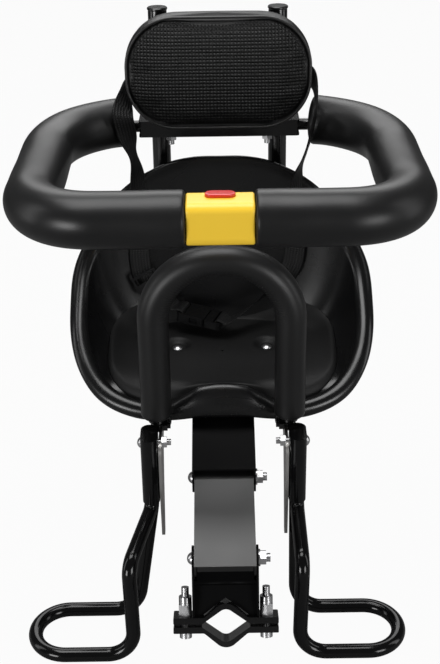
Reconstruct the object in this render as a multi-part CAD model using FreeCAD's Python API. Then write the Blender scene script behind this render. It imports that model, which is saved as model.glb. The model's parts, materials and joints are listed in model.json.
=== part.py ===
import FreeCAD, Part
import math
import os

V = FreeCAD.Vector
AX = V(1, 0, 0)
AY = V(0, 1, 0)
AZ = V(0, 0, 1)

# Fits and clearances
fit = 0.05
slip = 0.25
play = 0.5

# Frame tube clamp, at the origin, local z up the lower bracket
clamp_slope = 20.0
jaw_width = 20.0
jaw_thick = 6.0
jaw_half_open = 22.3
jaw_angle = 36.0
jaw_gap = 3.0
jaw_reach = 49.0
jaw_bend = 8.0
jaw_screw_x = 37.8
jaw_screw_d = 7.0
jaw_head_d = 11.5
jaw_nut_d = 12.0
jaw_nut_len = 18.0
jaw_stud_up = 9.0

# Lower bracket, link and upper channel
plate_wall = 2.0
link_width = 57.5
link_half_depth = 10.0
link_nose = 16.5
link_tail = 12.0
link_tab = 8.0
pivot_d = 8.0
pivot_head_d = 12.0
bolt2_up = 62.0
bolt1_y = 113.2
bolt1_z = 84.6
ear_radius = 12.0
web_thick = 4.0
web_top = 38.0
channel_rise = 17.3
channel_depth = 30.0
channel_lift = 16.4
channel_nose = 10.0
channel_rear = 300.0

# Seat bucket
seat_y = 262.0
pan_z = 145.0
shell_wall = 4.0
roll_wide = 9.5
roll_high = 9.0
roll_drop = 3.0
seat_half = 138.0
seat_back = 66.0
seat_front = 91.0
pan_half = 92.0
pan_back = 52.0
pan_front = 76.0
square_front = 3.4
square_back = 2.6
wall_turn = 66.0
skirt_z = 117.0
skirt_mid_z = 129.0
skirt_wall = 3.5
skirt_set = 2.2
pad_thick = 7.5
pad_lift = 0.8
pad_reach = 48.0
rim_heights = [(0, 181), (25, 180), (43, 173), (58, 154), (70, 114), (80, 84), (90, 61), (101, 42), (112, 19),
               (124, -3), (138, -13), (150, -12), (158, -3), (166, 5), (180, 8)]
section_angles = [0, 15, 30, 43, 55, 65, 75, 85, 95, 105, 115, 126, 137, 146, 153, 160, 168]

# Under-seat frame
post_x = 60.85
post_d = 19.0
post_wall = 1.5
post_bend = 42.0
run_front = 153.0
base_thick = 3.0
base_half = 76.0
base_front = 184.0
base_rear = 304.0
side_thick = 3.0
side_front = 94.0
side_rear = 186.0
side_low = 22.0
pan_screw_x = 47.0
pan_screw_y = 262.0

# Guard ring, headrest and hinge bracket, in a frame leaning back with the posts
upper_y = 341.2
upper_z = 364.4
lean = 3.5
hinge_x = 49.5
arm_d = 12.0
foam_d = 50.0
ring_half = 166.0
ring_reach = 274.0
ring_rear_r = 70.0
ring_front_r = 60.0
buckle_half = 29.0
buckle_half_y = 18.9
buckle_half_z = 18.9
buckle_round = 8.0
buckle_edge = 2.0
button_half = 13.0
button_deep = 6.0
button_back = 4.5
button_out = 3.0
button_sunk = 8.0
button_travel = 2.5
tongue_len = 20.0
tongue_half = 6.0
tongue_thick = 3.0
mouth_play = 6.5
bracket_half = 82.0
bracket_plate = 2.0
bracket_front = 13.0
bracket_rear = 35.0
hinge_d = 6.0
post_y = 22.0
post_top = 114.0
head_half = 92.0
head_low = 11.0
head_high = 117.0
head_corner = 42.0
head_front = 30.0
head_rear = 5.0
head_shell = 3.0
saddle_half = 13.0
saddle_low = 60.0
saddle_high = 92.0

# Front handle
handle_x = 64.5
handle_y = 131.2
handle_top = 312.0
handle_r = 62.0
handle_d = 16.0
handle_foam_d = 30.0
handle_foam_low = 146.0
tongue_low = 128.0
tongue_wide = 14.0
tongue_flat = 5.0

# Footrests
foot_x = 71.0
foot_y = 105.2
foot_bolt_z = 132.0
foot_bolt_d = 6.0
rod_d = 14.0
rod_pitch = 14.6
sleeve_wall = 1.2
sleeve_top = 142.0
sleeve_low = 69.0
loop_z = -59.0
loop_near = 22.2
loop_far = 88.2
loop_out = 180.0
loop_in = 80.0
foot_skew = -9.0
loop_bend = 26.0

# Harness
web_wide = 22.0
web_thin = 1.6
ring_fore = 67.2
ring_up = 381.0
clasp_half = 5.0
latch_half = 4.0


def box(x0, x1, y0, y1, z0, z1):
    return Part.makeBox(x1 - x0, y1 - y0, z1 - z0, V(x0, y0, z0))


def rod(base, axis, dia, length):
    return Part.makeCylinder(dia / 2.0, length, base, axis)


def mirrored(shape):
    return shape.mirror(V(0, 0, 0), AX)


def both(shape):
    return Part.makeCompound([shape, mirrored(shape)])


def rounded_path(points, radii):
    """Straight runs joined by tangent arcs, as one wire."""
    edges = []
    start = points[0]
    for i in range(1, len(points) - 1):
        corner = points[i]
        a = (points[i - 1] - corner).normalize()
        b = (points[i + 1] - corner).normalize()
        half = math.acos(max(-1.0, min(1.0, a.dot(b)))) / 2.0
        cut = radii[i - 1] / math.tan(half)
        p = corner + a * cut
        q = corner + b * cut
        mid = (a + b).normalize()
        m = corner + mid * (radii[i - 1] / math.sin(half) - radii[i - 1])
        if (p - start).Length > 1e-6:
            edges.append(Part.LineSegment(start, p).toShape())
        edges.append(Part.Arc(p, m, q).toShape())
        start = q
    if (points[-1] - start).Length > 1e-6:
        edges.append(Part.LineSegment(start, points[-1]).toShape())
    return Part.Wire(edges)


def swept(wire, dia):
    """A round bar along a wire."""
    first = wire.Edges[0]
    start = first.valueAt(first.FirstParameter)
    heading = first.tangentAt(first.FirstParameter)
    ring = Part.Wire(Part.makeCircle(dia / 2.0, start, heading))
    return wire.makePipe(Part.Face(ring))


def bent_tube(wire, dia, wall):
    return swept(wire, dia).cut(swept(wire, dia - 2.0 * wall))


def outline_face(points, radii):
    """Closed polygon with rounded corners, as a face."""
    n = len(points)
    tangents = []
    for i in range(n):
        corner = points[i]
        a = (points[i - 1] - corner).normalize()
        b = (points[(i + 1) % n] - corner).normalize()
        half = math.acos(max(-1.0, min(1.0, a.dot(b)))) / 2.0
        r = radii[i]
        cut = r / math.tan(half)
        bow = corner + (a + b).normalize() * (r / math.sin(half) - r)
        tangents.append((corner + a * cut, bow, corner + b * cut, r))
    edges = []
    for i in range(n):
        p, m, q, r = tangents[i]
        if r > 0:
            edges.append(Part.Arc(p, m, q).toShape())
        nxt = tangents[(i + 1) % n][0]
        if (nxt - q).Length > 1e-6:
            edges.append(Part.LineSegment(q, nxt).toShape())
    return Part.Face(Part.Wire(edges))


def plate_x(outline, radii, x0, x1):
    """Plate from a (y, z) outline, between two x stations."""
    points = [V(x0, y, z) for y, z in outline]
    return outline_face(points, radii).extrude(V(x1 - x0, 0, 0))


def plate_y(outline, radii, y0, y1):
    """Plate from an (x, z) outline, between two y stations."""
    points = [V(x, y0, z) for x, z in outline]
    return outline_face(points, radii).extrude(V(0, y1 - y0, 0))


def plate_z(outline, radii, z0, z1):
    """Plate from an (x, y) outline, between two z stations."""
    points = [V(x, y, z0) for x, y in outline]
    return outline_face(points, radii).extrude(V(0, 0, z1 - z0))


def rectangle(u0, u1, v0, v1):
    return [(u0, v0), (u1, v0), (u1, v1), (u0, v1)]


def hexagon(base, axis, across, height):
    """Hexagonal nut or head blank."""
    side = V(0, 0, 1) if abs(axis.z) < 0.9 else V(0, 1, 0)
    side = side - axis * side.dot(axis)
    side.normalize()
    other = axis.cross(side)
    r = across / math.sqrt(3.0)
    ring = []
    for i in range(7):
        t = math.pi / 3.0 * i
        ring.append(base + side * (r * math.cos(t)) + other * (r * math.sin(t)))
    return Part.Face(Part.makePolygon(ring)).extrude(axis * height)


def dome(base, axis, dia, height):
    """Button head: a ball cut flat."""
    r = (dia * dia / 4.0 + height * height) / (2.0 * height)
    ball = Part.makeSphere(r, base - axis * (r - height))
    keep = Part.makeCylinder(dia, height, base, axis)
    return ball.common(keep)


def socket_screw(seat, axis, dia, head_d, head_h, length):
    """Cap screw: head behind the seat point, shank along the axis, hex socket in the head."""
    head = rod(seat - axis * head_h, axis, head_d, head_h)
    head = head.makeChamfer(head_h * 0.12, [e for e in head.Edges if len(e.Vertexes) == 1][:1])
    shank = rod(seat, axis, dia, length)
    key = hexagon(seat - axis * head_h, axis, head_d * 0.5, head_h * 0.55)
    return head.fuse(shank).cut(key).removeSplitter()


def at_clamp(shape):
    out = shape.copy()
    out.Placement = FreeCAD.Placement(V(0, 0, 0), FreeCAD.Rotation(AX, -clamp_slope))
    return out


def at_upper(shape):
    out = shape.copy()
    out.Placement = FreeCAD.Placement(V(0, upper_y, upper_z), FreeCAD.Rotation(AX, -lean))
    return out


def upper_point(x, y, z):
    turn = FreeCAD.Rotation(AX, -lean)
    return turn.multVec(V(x, y, z)) + V(0, upper_y, upper_z)


def save(name, shape):
    os.makedirs("parts", exist_ok=True)
    shape.exportStep("parts/" + name + ".step")


# Frame tube clamp

def jaw(side):
    """V jaw bent from flat bar; side is 1 for the upper jaw and -1 for the lower one."""
    slope = math.tan(math.radians(jaw_angle))
    rise = jaw_half_open * slope
    half = jaw_gap / 2.0
    upright = jaw_thick / math.cos(math.radians(jaw_angle))
    shoulder = jaw_half_open + (jaw_thick - upright) / slope
    inner = [(-jaw_reach, half), (-jaw_half_open, half), (0, half + rise), (jaw_half_open, half),
             (jaw_reach, half)]
    outer = [(jaw_reach, half + jaw_thick), (shoulder, half + jaw_thick), (0, half + rise + upright),
             (-shoulder, half + jaw_thick), (-jaw_reach, half + jaw_thick)]
    ring = [(x, side * z) for x, z in inner + outer]
    radii = [1, 2, jaw_bend, 2, 1, 1, 4, jaw_bend + 4, 4, 1]
    bar = plate_y(ring, radii, -jaw_width / 2.0, jaw_width / 2.0)
    base = -2.0 * jaw_reach
    hole = rod(V(jaw_screw_x, 0, base), AZ, jaw_screw_d + 2.0 * play, 4.0 * jaw_reach)
    return bar.cut(hole).cut(mirrored(hole))


jaw_top = jaw_gap / 2.0 + jaw_thick
jaw_peak = jaw_gap / 2.0 + jaw_half_open * math.tan(math.radians(jaw_angle)) \
    + jaw_thick / math.cos(math.radians(jaw_angle))
upper_jaw = jaw(1)
lower_jaw = jaw(-1)
save("upper_jaw", at_clamp(upper_jaw))
save("lower_jaw", at_clamp(lower_jaw))

screw_len = 2.0 * jaw_top + jaw_nut_len + jaw_stud_up
jaw_screw = socket_screw(V(jaw_screw_x, 0, -jaw_top), AZ, jaw_screw_d, jaw_head_d, jaw_screw_d, screw_len)
save("jaw_screws", at_clamp(both(jaw_screw)))
nut = rod(V(jaw_screw_x, 0, jaw_top), AZ, jaw_nut_d, jaw_nut_len)
nut = nut.fuse(hexagon(V(jaw_screw_x, 0, jaw_top), AZ, jaw_nut_d, jaw_nut_len * 0.6)).removeSplitter()
nut = nut.cut(rod(V(jaw_screw_x, 0, jaw_top), AZ, jaw_screw_d + 2.0 * fit, jaw_nut_len))
save("jaw_nuts", at_clamp(both(nut)))

# Lower bracket: two ears and a web, seated on the upper jaw

ear_in = link_width / 2.0 + slip
ear_out = ear_in + plate_wall
ear_outline = [(-jaw_width / 2.0 + 2, jaw_top), (jaw_width / 2.0 - 2, jaw_top), (ear_radius, jaw_top + 18),
               (ear_radius, bolt2_up + ear_radius), (-ear_radius, bolt2_up + ear_radius), (-ear_radius,
                                                                                           jaw_top + 18)]
ear_radii = [1, 1, 8, ear_radius - 0.1, ear_radius - 0.1, 8]
ear = plate_x(ear_outline, ear_radii, ear_in, ear_out)
web = plate_y(rectangle(-ear_in, ear_in, jaw_top, web_top), [0.5] * 4, -web_thick, 0)
slope_cut = plate_y([(-ear_in - 5, 0), (ear_in + 5, 0), (jaw_half_open, jaw_top), (0, jaw_peak),
                     (-jaw_half_open, jaw_top)],
                    [0, 0, 0, 0, 0], -web_thick - 1, 1)
lower_bracket = web.fuse([ear, mirrored(ear)]).cut(upper_jaw).cut(slope_cut)
lower_bracket = lower_bracket.cut(rod(V(-100, 0, bolt2_up), AX, pivot_d + 2.0 * fit, 200)).removeSplitter()
lower_bracket = max(lower_bracket.Solids, key=lambda s: s.Volume)
save("lower_bracket", at_clamp(lower_bracket))

# Link: inverted channel with a folded nose tab

s20 = math.sin(math.radians(clamp_slope))
c20 = math.cos(math.radians(clamp_slope))
bolt2 = V(0, bolt2_up * s20, bolt2_up * c20)
bolt1 = V(0, bolt1_y, bolt1_z)
link_run = bolt2 - bolt1
link_len = link_run.Length
link_fall = math.degrees(math.atan2(-link_run.z, -link_run.y))
half_w = link_width / 2.0
profile = rectangle(-link_len - link_nose, link_tail, -link_half_depth, link_half_depth)
cheek = plate_x(profile, [6, 8, 2, 2], half_w - plate_wall, half_w)
top = box(-half_w, half_w, -link_len - link_nose, link_tail - 4.0, link_half_depth - plate_wall,
          link_half_depth)
tab = box(-half_w + plate_wall + 1, half_w - plate_wall - 1, -link_len - link_nose,
          -link_len - link_nose + plate_wall,
          link_half_depth - link_tab, link_half_depth)
link = top.fuse([cheek, mirrored(cheek), tab])
link = link.cut(rod(V(-100, 0, 0), AX, pivot_d + 2.0 * fit, 200))
link = link.cut(rod(V(-100, -link_len, 0), AX, pivot_d + 2.0 * fit, 200)).removeSplitter()
link.Placement = FreeCAD.Placement(bolt1, FreeCAD.Rotation(AX, link_fall))
save("link", link)

# Upper channel under the seat, bent down at the front

rise = math.tan(math.radians(channel_rise))
chan_in = half_w + slip
chan_out = chan_in + plate_wall
frame_top = pan_z - shell_wall - 4.0 - base_thick
lift = channel_lift / math.cos(math.radians(channel_rise))
under_front = bolt1_z + lift
knee_y = bolt1_y + (frame_top - plate_wall - under_front) / rise
nose_y = bolt1_y - channel_nose
under_nose = under_front - channel_nose * rise
roof = [(channel_rear, frame_top), (knee_y, frame_top), (nose_y, under_nose + plate_wall), (nose_y, under_nose),
        (knee_y, frame_top - plate_wall), (channel_rear, frame_top - plate_wall)]
roof = plate_x(roof, [0.4, 30, 0.4, 0.4, 28, 0.4], -chan_out, chan_out)
wall_pts = [(channel_rear, frame_top - 1), (knee_y, frame_top - 1), (nose_y - 4, under_nose + 0.5),
            (nose_y - 4, bolt1_z - ear_radius), (bolt1_y + ear_radius, bolt1_z - ear_radius),
            (knee_y, frame_top - channel_depth), (channel_rear, frame_top - 14)]
wall = plate_x(wall_pts, [1, 20, 4, 9, 12, 30, 6], chan_in, chan_out)
channel = roof.fuse([wall, mirrored(wall)])
channel = channel.cut(rod(V(-100, bolt1_y, bolt1_z), AX, pivot_d + 2.0 * fit, 200)).removeSplitter()
save("upper_channel", channel)


def pivot_bolt(centre, grip):
    """Button-head bolt through both walls, from the left."""
    shank = rod(centre - AX * grip, AX, pivot_d, 2.0 * grip + 11.0)
    head = dome(centre - AX * grip, -AX, pivot_head_d, 4.5)
    return head.fuse(shank).removeSplitter()


def pivot_nut(centre, grip):
    base = centre + AX * grip
    flange = rod(base, AX, pivot_head_d + 4.0, 1.6)
    body = flange.fuse(hexagon(base, AX, pivot_head_d, 7.0))
    return body.cut(rod(base, AX, pivot_d + 2.0 * fit, 8.0)).removeSplitter()


save("link_bolt", pivot_bolt(bolt2, ear_out))
save("link_nut", pivot_nut(bolt2, ear_out))
save("tilt_bolt", pivot_bolt(bolt1, chan_out))
save("tilt_nut", pivot_nut(bolt1, chan_out))

# Under-seat frame: base plate, posts bent under the seat, side plates

run_z = frame_top - post_d / 2.0
base_plate = plate_z(rectangle(-base_half, base_half, base_front, base_rear), [14] * 4, frame_top,
                     frame_top + base_thick)
slot = plate_z(rectangle(-9, 9, 196, 214), [8.9] * 4, frame_top, frame_top + base_thick)
window = plate_z(rectangle(34, 54, 205, 245), [8] * 4, frame_top, frame_top + base_thick)
base_plate = base_plate.cut(slot).cut(window).cut(mirrored(window))
for sx in (-1, 1):
    base_plate = base_plate.cut(rod(V(sx * pan_screw_x, pan_screw_y, 0), AZ, 6.0, 400))
save("base_plate", base_plate)

post_tip = upper_point(post_x, post_y, post_top)
lean_run = math.tan(math.radians(lean))
heel_y = post_tip.y - (post_tip.z - run_z) * lean_run
post_pts = [post_tip, V(post_x, heel_y, run_z), V(post_x, run_front, run_z)]
post_line = rounded_path(post_pts, [post_bend])
post = bent_tube(post_line, post_d, post_wall)
side_mid = post_x
slot_cut = box(side_mid - side_thick / 2.0, side_mid + side_thick / 2.0, 0, side_rear, run_z - 30, run_z + 30)
post = post.cut(slot_cut)
post = max(post.Solids, key=lambda s: s.Volume)
save("post_right", post)
save("post_left", mirrored(post))

top_dir = (post_pts[0] - post_pts[1]).normalize()
cap = rod(post_tip, top_dir, post_d + 1.5, 3.0)
cap = cap.makeChamfer(0.8, [e for e in cap.Edges if len(e.Vertexes) == 1])
plug = rod(post_tip - top_dir * 10.0, top_dir, post_d - 2.0 * post_wall - 2.0 * fit, 10.5)
save("post_caps", both(cap.fuse(plug).removeSplitter()))

side_pts = [(side_front, frame_top - 1), (side_rear, frame_top - 1), (side_rear, run_z - 5),
            (handle_y + 14, run_z - 14),
            (foot_y + 22, sleeve_low + 2), (foot_y + 6, side_low), (foot_y - 4, side_low), (side_front,
                                                                                            sleeve_low + 14)]
side_plate = plate_x(side_pts, [10, 4, 4, 14, 30, 5, 5, 30], side_mid - side_thick / 2.0,
                     side_mid + side_thick / 2.0)
for hole_y, hole_z in ((foot_y, foot_bolt_z), (foot_y + 1, sleeve_low + 18), (handle_y, tongue_low + 6)):
    side_plate = side_plate.cut(rod(V(0, hole_y, hole_z), AX, foot_bolt_d + 2.0 * fit, 100))
save("side_plate_right", side_plate)
save("side_plate_left", mirrored(side_plate))

# Seat bucket: sections run up the outside, round the rolled rim and down the inside


def rim_height(angle):
    """Height of the rim line above the pan, eased between the key heights."""
    a = abs(angle)
    for (a0, h0), (a1, h1) in zip(rim_heights, rim_heights[1:]):
        if a <= a1:
            break
    i = rim_heights.index((a0, h0))
    before = rim_heights[i - 1] if i > 0 else (-rim_heights[1][0], rim_heights[1][1])
    last = len(rim_heights) - 1
    after = rim_heights[i + 2] if i + 2 <= last else (360 - rim_heights[last - 1][0], rim_heights[last - 1][1])
    m0 = (h1 - before[1]) / (a1 - before[0])
    m1 = (after[1] - h0) / (after[0] - a0)
    t = (a - a0) / float(a1 - a0)
    d = a1 - a0
    b0 = 2 * t ** 3 - 3 * t ** 2 + 1
    b1 = t ** 3 - 2 * t ** 2 + t
    b2 = 3 * t ** 2 - 2 * t ** 3
    b3 = t ** 3 - t ** 2
    return b0 * h0 + b1 * d * m0 + b2 * h1 + b3 * d * m1


def oval(angle, half, back, front):
    """Superellipse in plan by polar angle, round at the back and squarer at the front."""
    s = math.sin(math.radians(angle))
    c = math.cos(math.radians(angle))
    power = square_back + (square_front - square_back) * 0.5 * (1.0 - c)
    reach = back if c > 0 else front
    r = (abs(s / half) ** power + abs(c / reach) ** power) ** (-1.0 / power)
    return V(r * s, r * c, 0)


def bowl(angle, phi, off):
    """Point of the bucket wall, phi from 0 at the pan to 90 at the rim, off square to the wall, downwards or outwards."""
    pan = oval(angle, pan_half, pan_back, pan_front)
    rim = oval(angle, seat_half, seat_back, seat_front)
    p = math.radians(phi * wall_turn / 90.0)
    full = math.radians(wall_turn)
    out = V(rim).normalize()
    wide = (rim - pan).Length / math.sin(full)
    high = rim_height(angle) / (1.0 - math.cos(full))
    square = (out * (high * math.sin(p)) - AZ * (wide * math.cos(p))).normalize()
    return V(0, seat_y, pan_z + high * (1.0 - math.cos(p))) + pan + out * (wide * math.sin(p)) + square * off


roll_start = math.degrees(math.asin(roll_drop / roll_high))
roll_mid = roll_wide * math.cos(math.radians(roll_start))


def bead(angle, turn):
    """Point of the rolled rim, an oval hanging under the rim line; turn 90 is its top and 0 its outside."""
    rim = oval(angle, seat_half, seat_back, seat_front)
    out = V(rim).normalize()
    t = math.radians(turn)
    mid = V(0, seat_y, pan_z + rim_height(angle) - roll_drop) + rim + out * roll_mid
    return mid + out * (roll_wide * math.cos(t)) + AZ * (roll_high * math.sin(t))


def section(maker, value, off=None):
    half_turn = section_angles[1:]
    angles = [-180] + [-a for a in reversed(half_turn)] + [0] + half_turn
    pts = [maker(a, value) if off is None else maker(a, value, off) for a in angles]
    curve = Part.BSplineCurve()
    curve.interpolate(Points=pts, Parameters=[a / 360.0 + 0.5 for a in angles + [180]], PeriodicFlag=True)
    return Part.Wire(curve.toShape())


def outward(body):
    """The solid with its faces turned outwards: a point far off then lies outside it."""
    if body.isInside(V(0, 0, 9000), 0.1, False):
        body.reverse()
    return body


def skin(groups, first, last):
    """Closed solid from smooth bands of sections that share their end wires, capped flat at both ends."""
    faces = [Part.Face(first), Part.Face(last)]
    for wires in groups:
        faces += Part.makeLoft(wires, False, len(wires) == 2).Faces
    hull = Part.makeCompound(faces)
    hull.sewShape()
    return outward(Part.Solid(hull.Shells[0]))


walls = [section(bowl, phi, shell_wall) for phi in (0, 20, 40, 60, 80)]
lip = [section(bead, turn) for turn in (-75, -20, 35, 85, 125, 180 - roll_start)]
inside = [lip[-1]] + [section(bowl, phi, 0.0) for phi in (76, 57, 38, 19, 0)]
shell = skin([walls, [walls[-1], lip[0]], lip, inside], walls[0], inside[-1])


def ease(x, low, high):
    t = max(0.0, min(1.0, (x - low) / (high - low)))
    return t * t * (3.0 - 2.0 * t)


def skirt_corners(angle):
    """The four corners of the front skirt in one radial plane: outside top, outside edge, inside edge, inside top."""
    rim = oval(angle, seat_half, seat_back, seat_front)
    out = V(rim).normalize()
    far = rim.Length + roll_mid + roll_wide - skirt_set
    top = pan_z + rim_height(angle) - roll_drop
    back_off = ease((out * far).y, -75.0, -35.0)
    edge = skirt_z + (skirt_mid_z - skirt_z) * ease(abs(angle), 150.0, 172.0)
    low = min(edge * (1.0 - back_off) + (top - 1.5) * back_off, top - 1.5)
    base = V(0, seat_y, 0)
    return [base + out * far + AZ * top, base + out * (far - 3.0) + AZ * low,
            base + out * (far - 3.0 - skirt_wall) + AZ * low, base + out * (far - skirt_wall) + AZ * top]


skirt_fan = [skirt_corners(a if a <= 180 else a - 360) for a in range(112, 249, 8)]
skirt_lines = []
for corner in range(4):
    line = Part.BSplineCurve()
    line.interpolate(Points=[c[corner] for c in skirt_fan],
                     Parameters=[i / 17.0 for i in range(len(skirt_fan))])
    skirt_lines.append(line.toShape())
skirt_faces = [Part.makeRuledSurface(skirt_lines[i], skirt_lines[(i + 1) % 4]) for i in range(4)]
for rib in (skirt_fan[0], skirt_fan[-1]):
    skirt_faces.append(Part.Face(Part.makePolygon(rib + rib[:1])))
skirt_hull = Part.makeCompound(skirt_faces)
skirt_hull.sewShape()
shell = shell.fuse(outward(Part.Solid(skirt_hull.Shells[0])))
notch = box(post_x - post_d / 2.0 - 1, post_x + post_d / 2.0 + 1, 0, seat_y - 60, 0, frame_top + base_thick)
shell = shell.cut(notch).cut(mirrored(notch))
for sx in (-1, 1):
    boss = rod(V(sx * pan_screw_x, pan_screw_y, frame_top + base_thick), AZ, 16.0, 4.5)
    shell = shell.fuse(boss).cut(rod(V(sx * pan_screw_x, pan_screw_y, 0), AZ, 6.0, 400))
rib_top = pan_z - shell_wall + 0.5
for rib_x in (-24.0, 24.0):
    shell = shell.fuse(box(rib_x - 1.5, rib_x + 1.5, seat_y - 70, seat_y + 40, frame_top + base_thick, rib_top))
shell = max(shell.removeSplitter().Solids, key=lambda s: s.BoundBox.DiagonalLength)
save("seat_shell", shell)

pan_screw = dome(V(pan_screw_x, pan_screw_y, pan_z), AZ, 13.0, 4.0)
pan_screw = pan_screw.fuse(rod(V(pan_screw_x, pan_screw_y, frame_top - 9.0), AZ, 5.9, pan_z - frame_top + 9.5))
save("pan_screws", both(pan_screw.removeSplitter()))
pan_nut = hexagon(V(pan_screw_x, pan_screw_y, frame_top - 5.0), AZ, 10.0, 5.0)
pan_nut = pan_nut.cut(rod(V(pan_screw_x, pan_screw_y, frame_top - 6.0), AZ, 6.0, 8.0))
save("pan_nuts", both(pan_nut))

# Seat pad, a soft layer lying in the bucket

bottom = [section(bowl, phi, -pad_lift) for phi in (0, 16, 32, pad_reach)]
edge = [bottom[-1], section(bowl, pad_reach + 3.0, -pad_thick * 0.5), section(bowl, pad_reach, -pad_thick)]
upper = [edge[-1]] + [section(bowl, phi, -pad_thick) for phi in (32, 16, 0)]
seat_pad = skin([bottom, edge, upper], bottom[0], upper[-1])
for sx in (-1, 1):
    seat_pad = seat_pad.cut(rod(V(sx * pan_screw_x, pan_screw_y, pan_z), AZ, 18.0, 60))
save("seat_pad", max(seat_pad.Solids, key=lambda s: s.BoundBox.DiagonalLength))

# Hinge bracket behind the headrest

arm_half = arm_d / 2.0
bracket_in = arm_half + slip
bracket_out = bracket_in + bracket_plate
leaf = rectangle(-bracket_half, bracket_half, -bracket_front, bracket_rear)
tail_cut = rectangle(-post_x + 18, post_x - 18, bracket_front, bracket_rear + 10)
bracket = plate_z(leaf, [3, 3, 16, 16], bracket_in, bracket_out)
bracket = bracket.fuse(plate_z(leaf, [3, 3, 16, 16], -bracket_out, -bracket_in))
bracket = bracket.cut(plate_z(tail_cut, [8] * 4, -bracket_out, bracket_out))
bracket = bracket.fuse(box(-bracket_half + 2, bracket_half - 2, -bracket_front, -bracket_front + bracket_plate,
                           -bracket_out, bracket_out))
post_hole = rod(V(post_x, post_y, -60), AZ, post_d + 2.0 * fit, 120)
pin_hole = rod(V(hinge_x, 0, -60), AZ, hinge_d + 2.0 * fit, 120)
bracket = bracket.cut(Part.makeCompound([post_hole, mirrored(post_hole), pin_hole, mirrored(pin_hole)]))
save("hinge_bracket", at_upper(bracket.removeSplitter()))

hinge_bolt = rod(V(hinge_x, 0, -bracket_out - 11.0), AZ, hinge_d, 2.0 * bracket_out + 11.0)
hinge_bolt = hinge_bolt.fuse(rod(V(hinge_x, 0, bracket_out), AZ, hinge_d + 5.0, 2.0)).removeSplitter()
save("hinge_bolts", at_upper(both(hinge_bolt)))
hinge_nut = hexagon(V(hinge_x, 0, -bracket_out - 6.0), AZ, 10.0, 6.0)
hinge_nut = hinge_nut.cut(rod(V(hinge_x, 0, -bracket_out - 6.0), AZ, hinge_d + 2.0 * fit, 6.0))
save("hinge_nuts", at_upper(both(hinge_nut)))

# Guard arms: bent tube with an eye on the hinge bolt, and a foam sleeve

arm_pts = [V(hinge_x, 0, 0), V(ring_half, 0, 0), V(ring_half, -ring_reach, 0),
           V(buckle_half - 12.0, -ring_reach, 0)]
arm_line = rounded_path(arm_pts, [ring_rear_r, ring_front_r])
arm = swept(arm_line, arm_d)
eye = rod(V(hinge_x, 0, -arm_half), AZ, arm_d + 4.0, arm_d)
eye_hole = rod(V(hinge_x, 0, -20), AZ, hinge_d + 2.0 * fit, 40)
foam_start = ring_half - ring_rear_r
foam_pts = [V(foam_start, 0, 0), V(ring_half, 0, 0), V(ring_half, -ring_reach, 0),
            V(buckle_half + play, -ring_reach, 0)]
foam_line = rounded_path(foam_pts, [ring_rear_r, ring_front_r])
foam = swept(foam_line, foam_d)
foam = foam.cut(swept(foam_line, arm_d + 2.0 * slip))
save("arm_foam_right", at_upper(foam))
save("arm_foam_left", at_upper(mirrored(foam)))

left_arm = mirrored(arm.fuse(eye).cut(eye_hole).removeSplitter())
save("arm_tube_left", at_upper(left_arm))
stop_x = buckle_half + play
right_arm = arm.fuse(eye).cut(eye_hole)
right_arm = right_arm.cut(box(-50, stop_x, -ring_reach - 20, -ring_reach + 20, -20, 20)).removeSplitter()
blade = plate_z(rectangle(stop_x - tongue_len, stop_x + 14.0, -ring_reach - tongue_half,
                          -ring_reach + tongue_half),
                [4, 1, 1, 4], -tongue_thick / 2.0, tongue_thick / 2.0)
blade = blade.cut(plate_z(rectangle(stop_x - 13.0, stop_x - 6.0, -ring_reach - 3, -ring_reach + 3),
                          [1.5] * 4, -5, 5))
save("latch_tongue", at_upper(blade))
right_arm = right_arm.cut(blade)
save("arm_tube_right", at_upper(max(right_arm.Solids, key=lambda s: s.Volume)))

# Latch buckle and release button

buckle = box(-buckle_half, buckle_half, -ring_reach - buckle_half_y, -ring_reach + buckle_half_y,
             -buckle_half_z, buckle_half_z)
buckle = buckle.makeFillet(buckle_round, [e for e in buckle.Edges if abs(e.tangentAt(e.FirstParameter).x) > 0.9])
buckle = buckle.makeFillet(buckle_edge, [e for e in buckle.Edges if abs(abs(e.CenterOfMass.x) - buckle_half) < 0.01])
buckle = buckle.cut(rod(V(-buckle_half - 1, -ring_reach, 0), AX, arm_d + 2.0 * fit, 14.0))
mouth_half = tongue_half + mouth_play
mouth = plate_z(rectangle(stop_x - tongue_len - 3.0, buckle_half + 5, -ring_reach - mouth_half,
                          -ring_reach + mouth_half),
                [2] * 4, -tongue_thick / 2.0 - 0.6, tongue_thick / 2.0 + 0.6)
buckle = buckle.cut(mouth)


def button_bar(grow, z0, z1):
    """Oval bar standing in the top of the buckle."""
    mid = -ring_reach + button_back
    ring = rectangle(-button_half - grow, button_half + grow, mid - button_deep - grow,
                     mid + button_deep + grow)
    return plate_z(ring, [button_deep + grow - 0.1] * 4, z0, z1)


well_low = buckle_half_z - button_sunk - button_travel - 1.0
buckle = buckle.cut(button_bar(slip, well_low, buckle_half_z + 5)).removeSplitter()
save("latch_buckle", at_upper(buckle))
button_top = buckle_half_z + button_out
button = button_bar(0.0, buckle_half_z - button_sunk, button_top)
button = button.makeFillet(1.2, [e for e in button.Edges if e.CenterOfMass.z > button_top - 0.01])
save("release_button", at_upper(button))

# Headrest: soft pad, back shell, saddles on the posts

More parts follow.
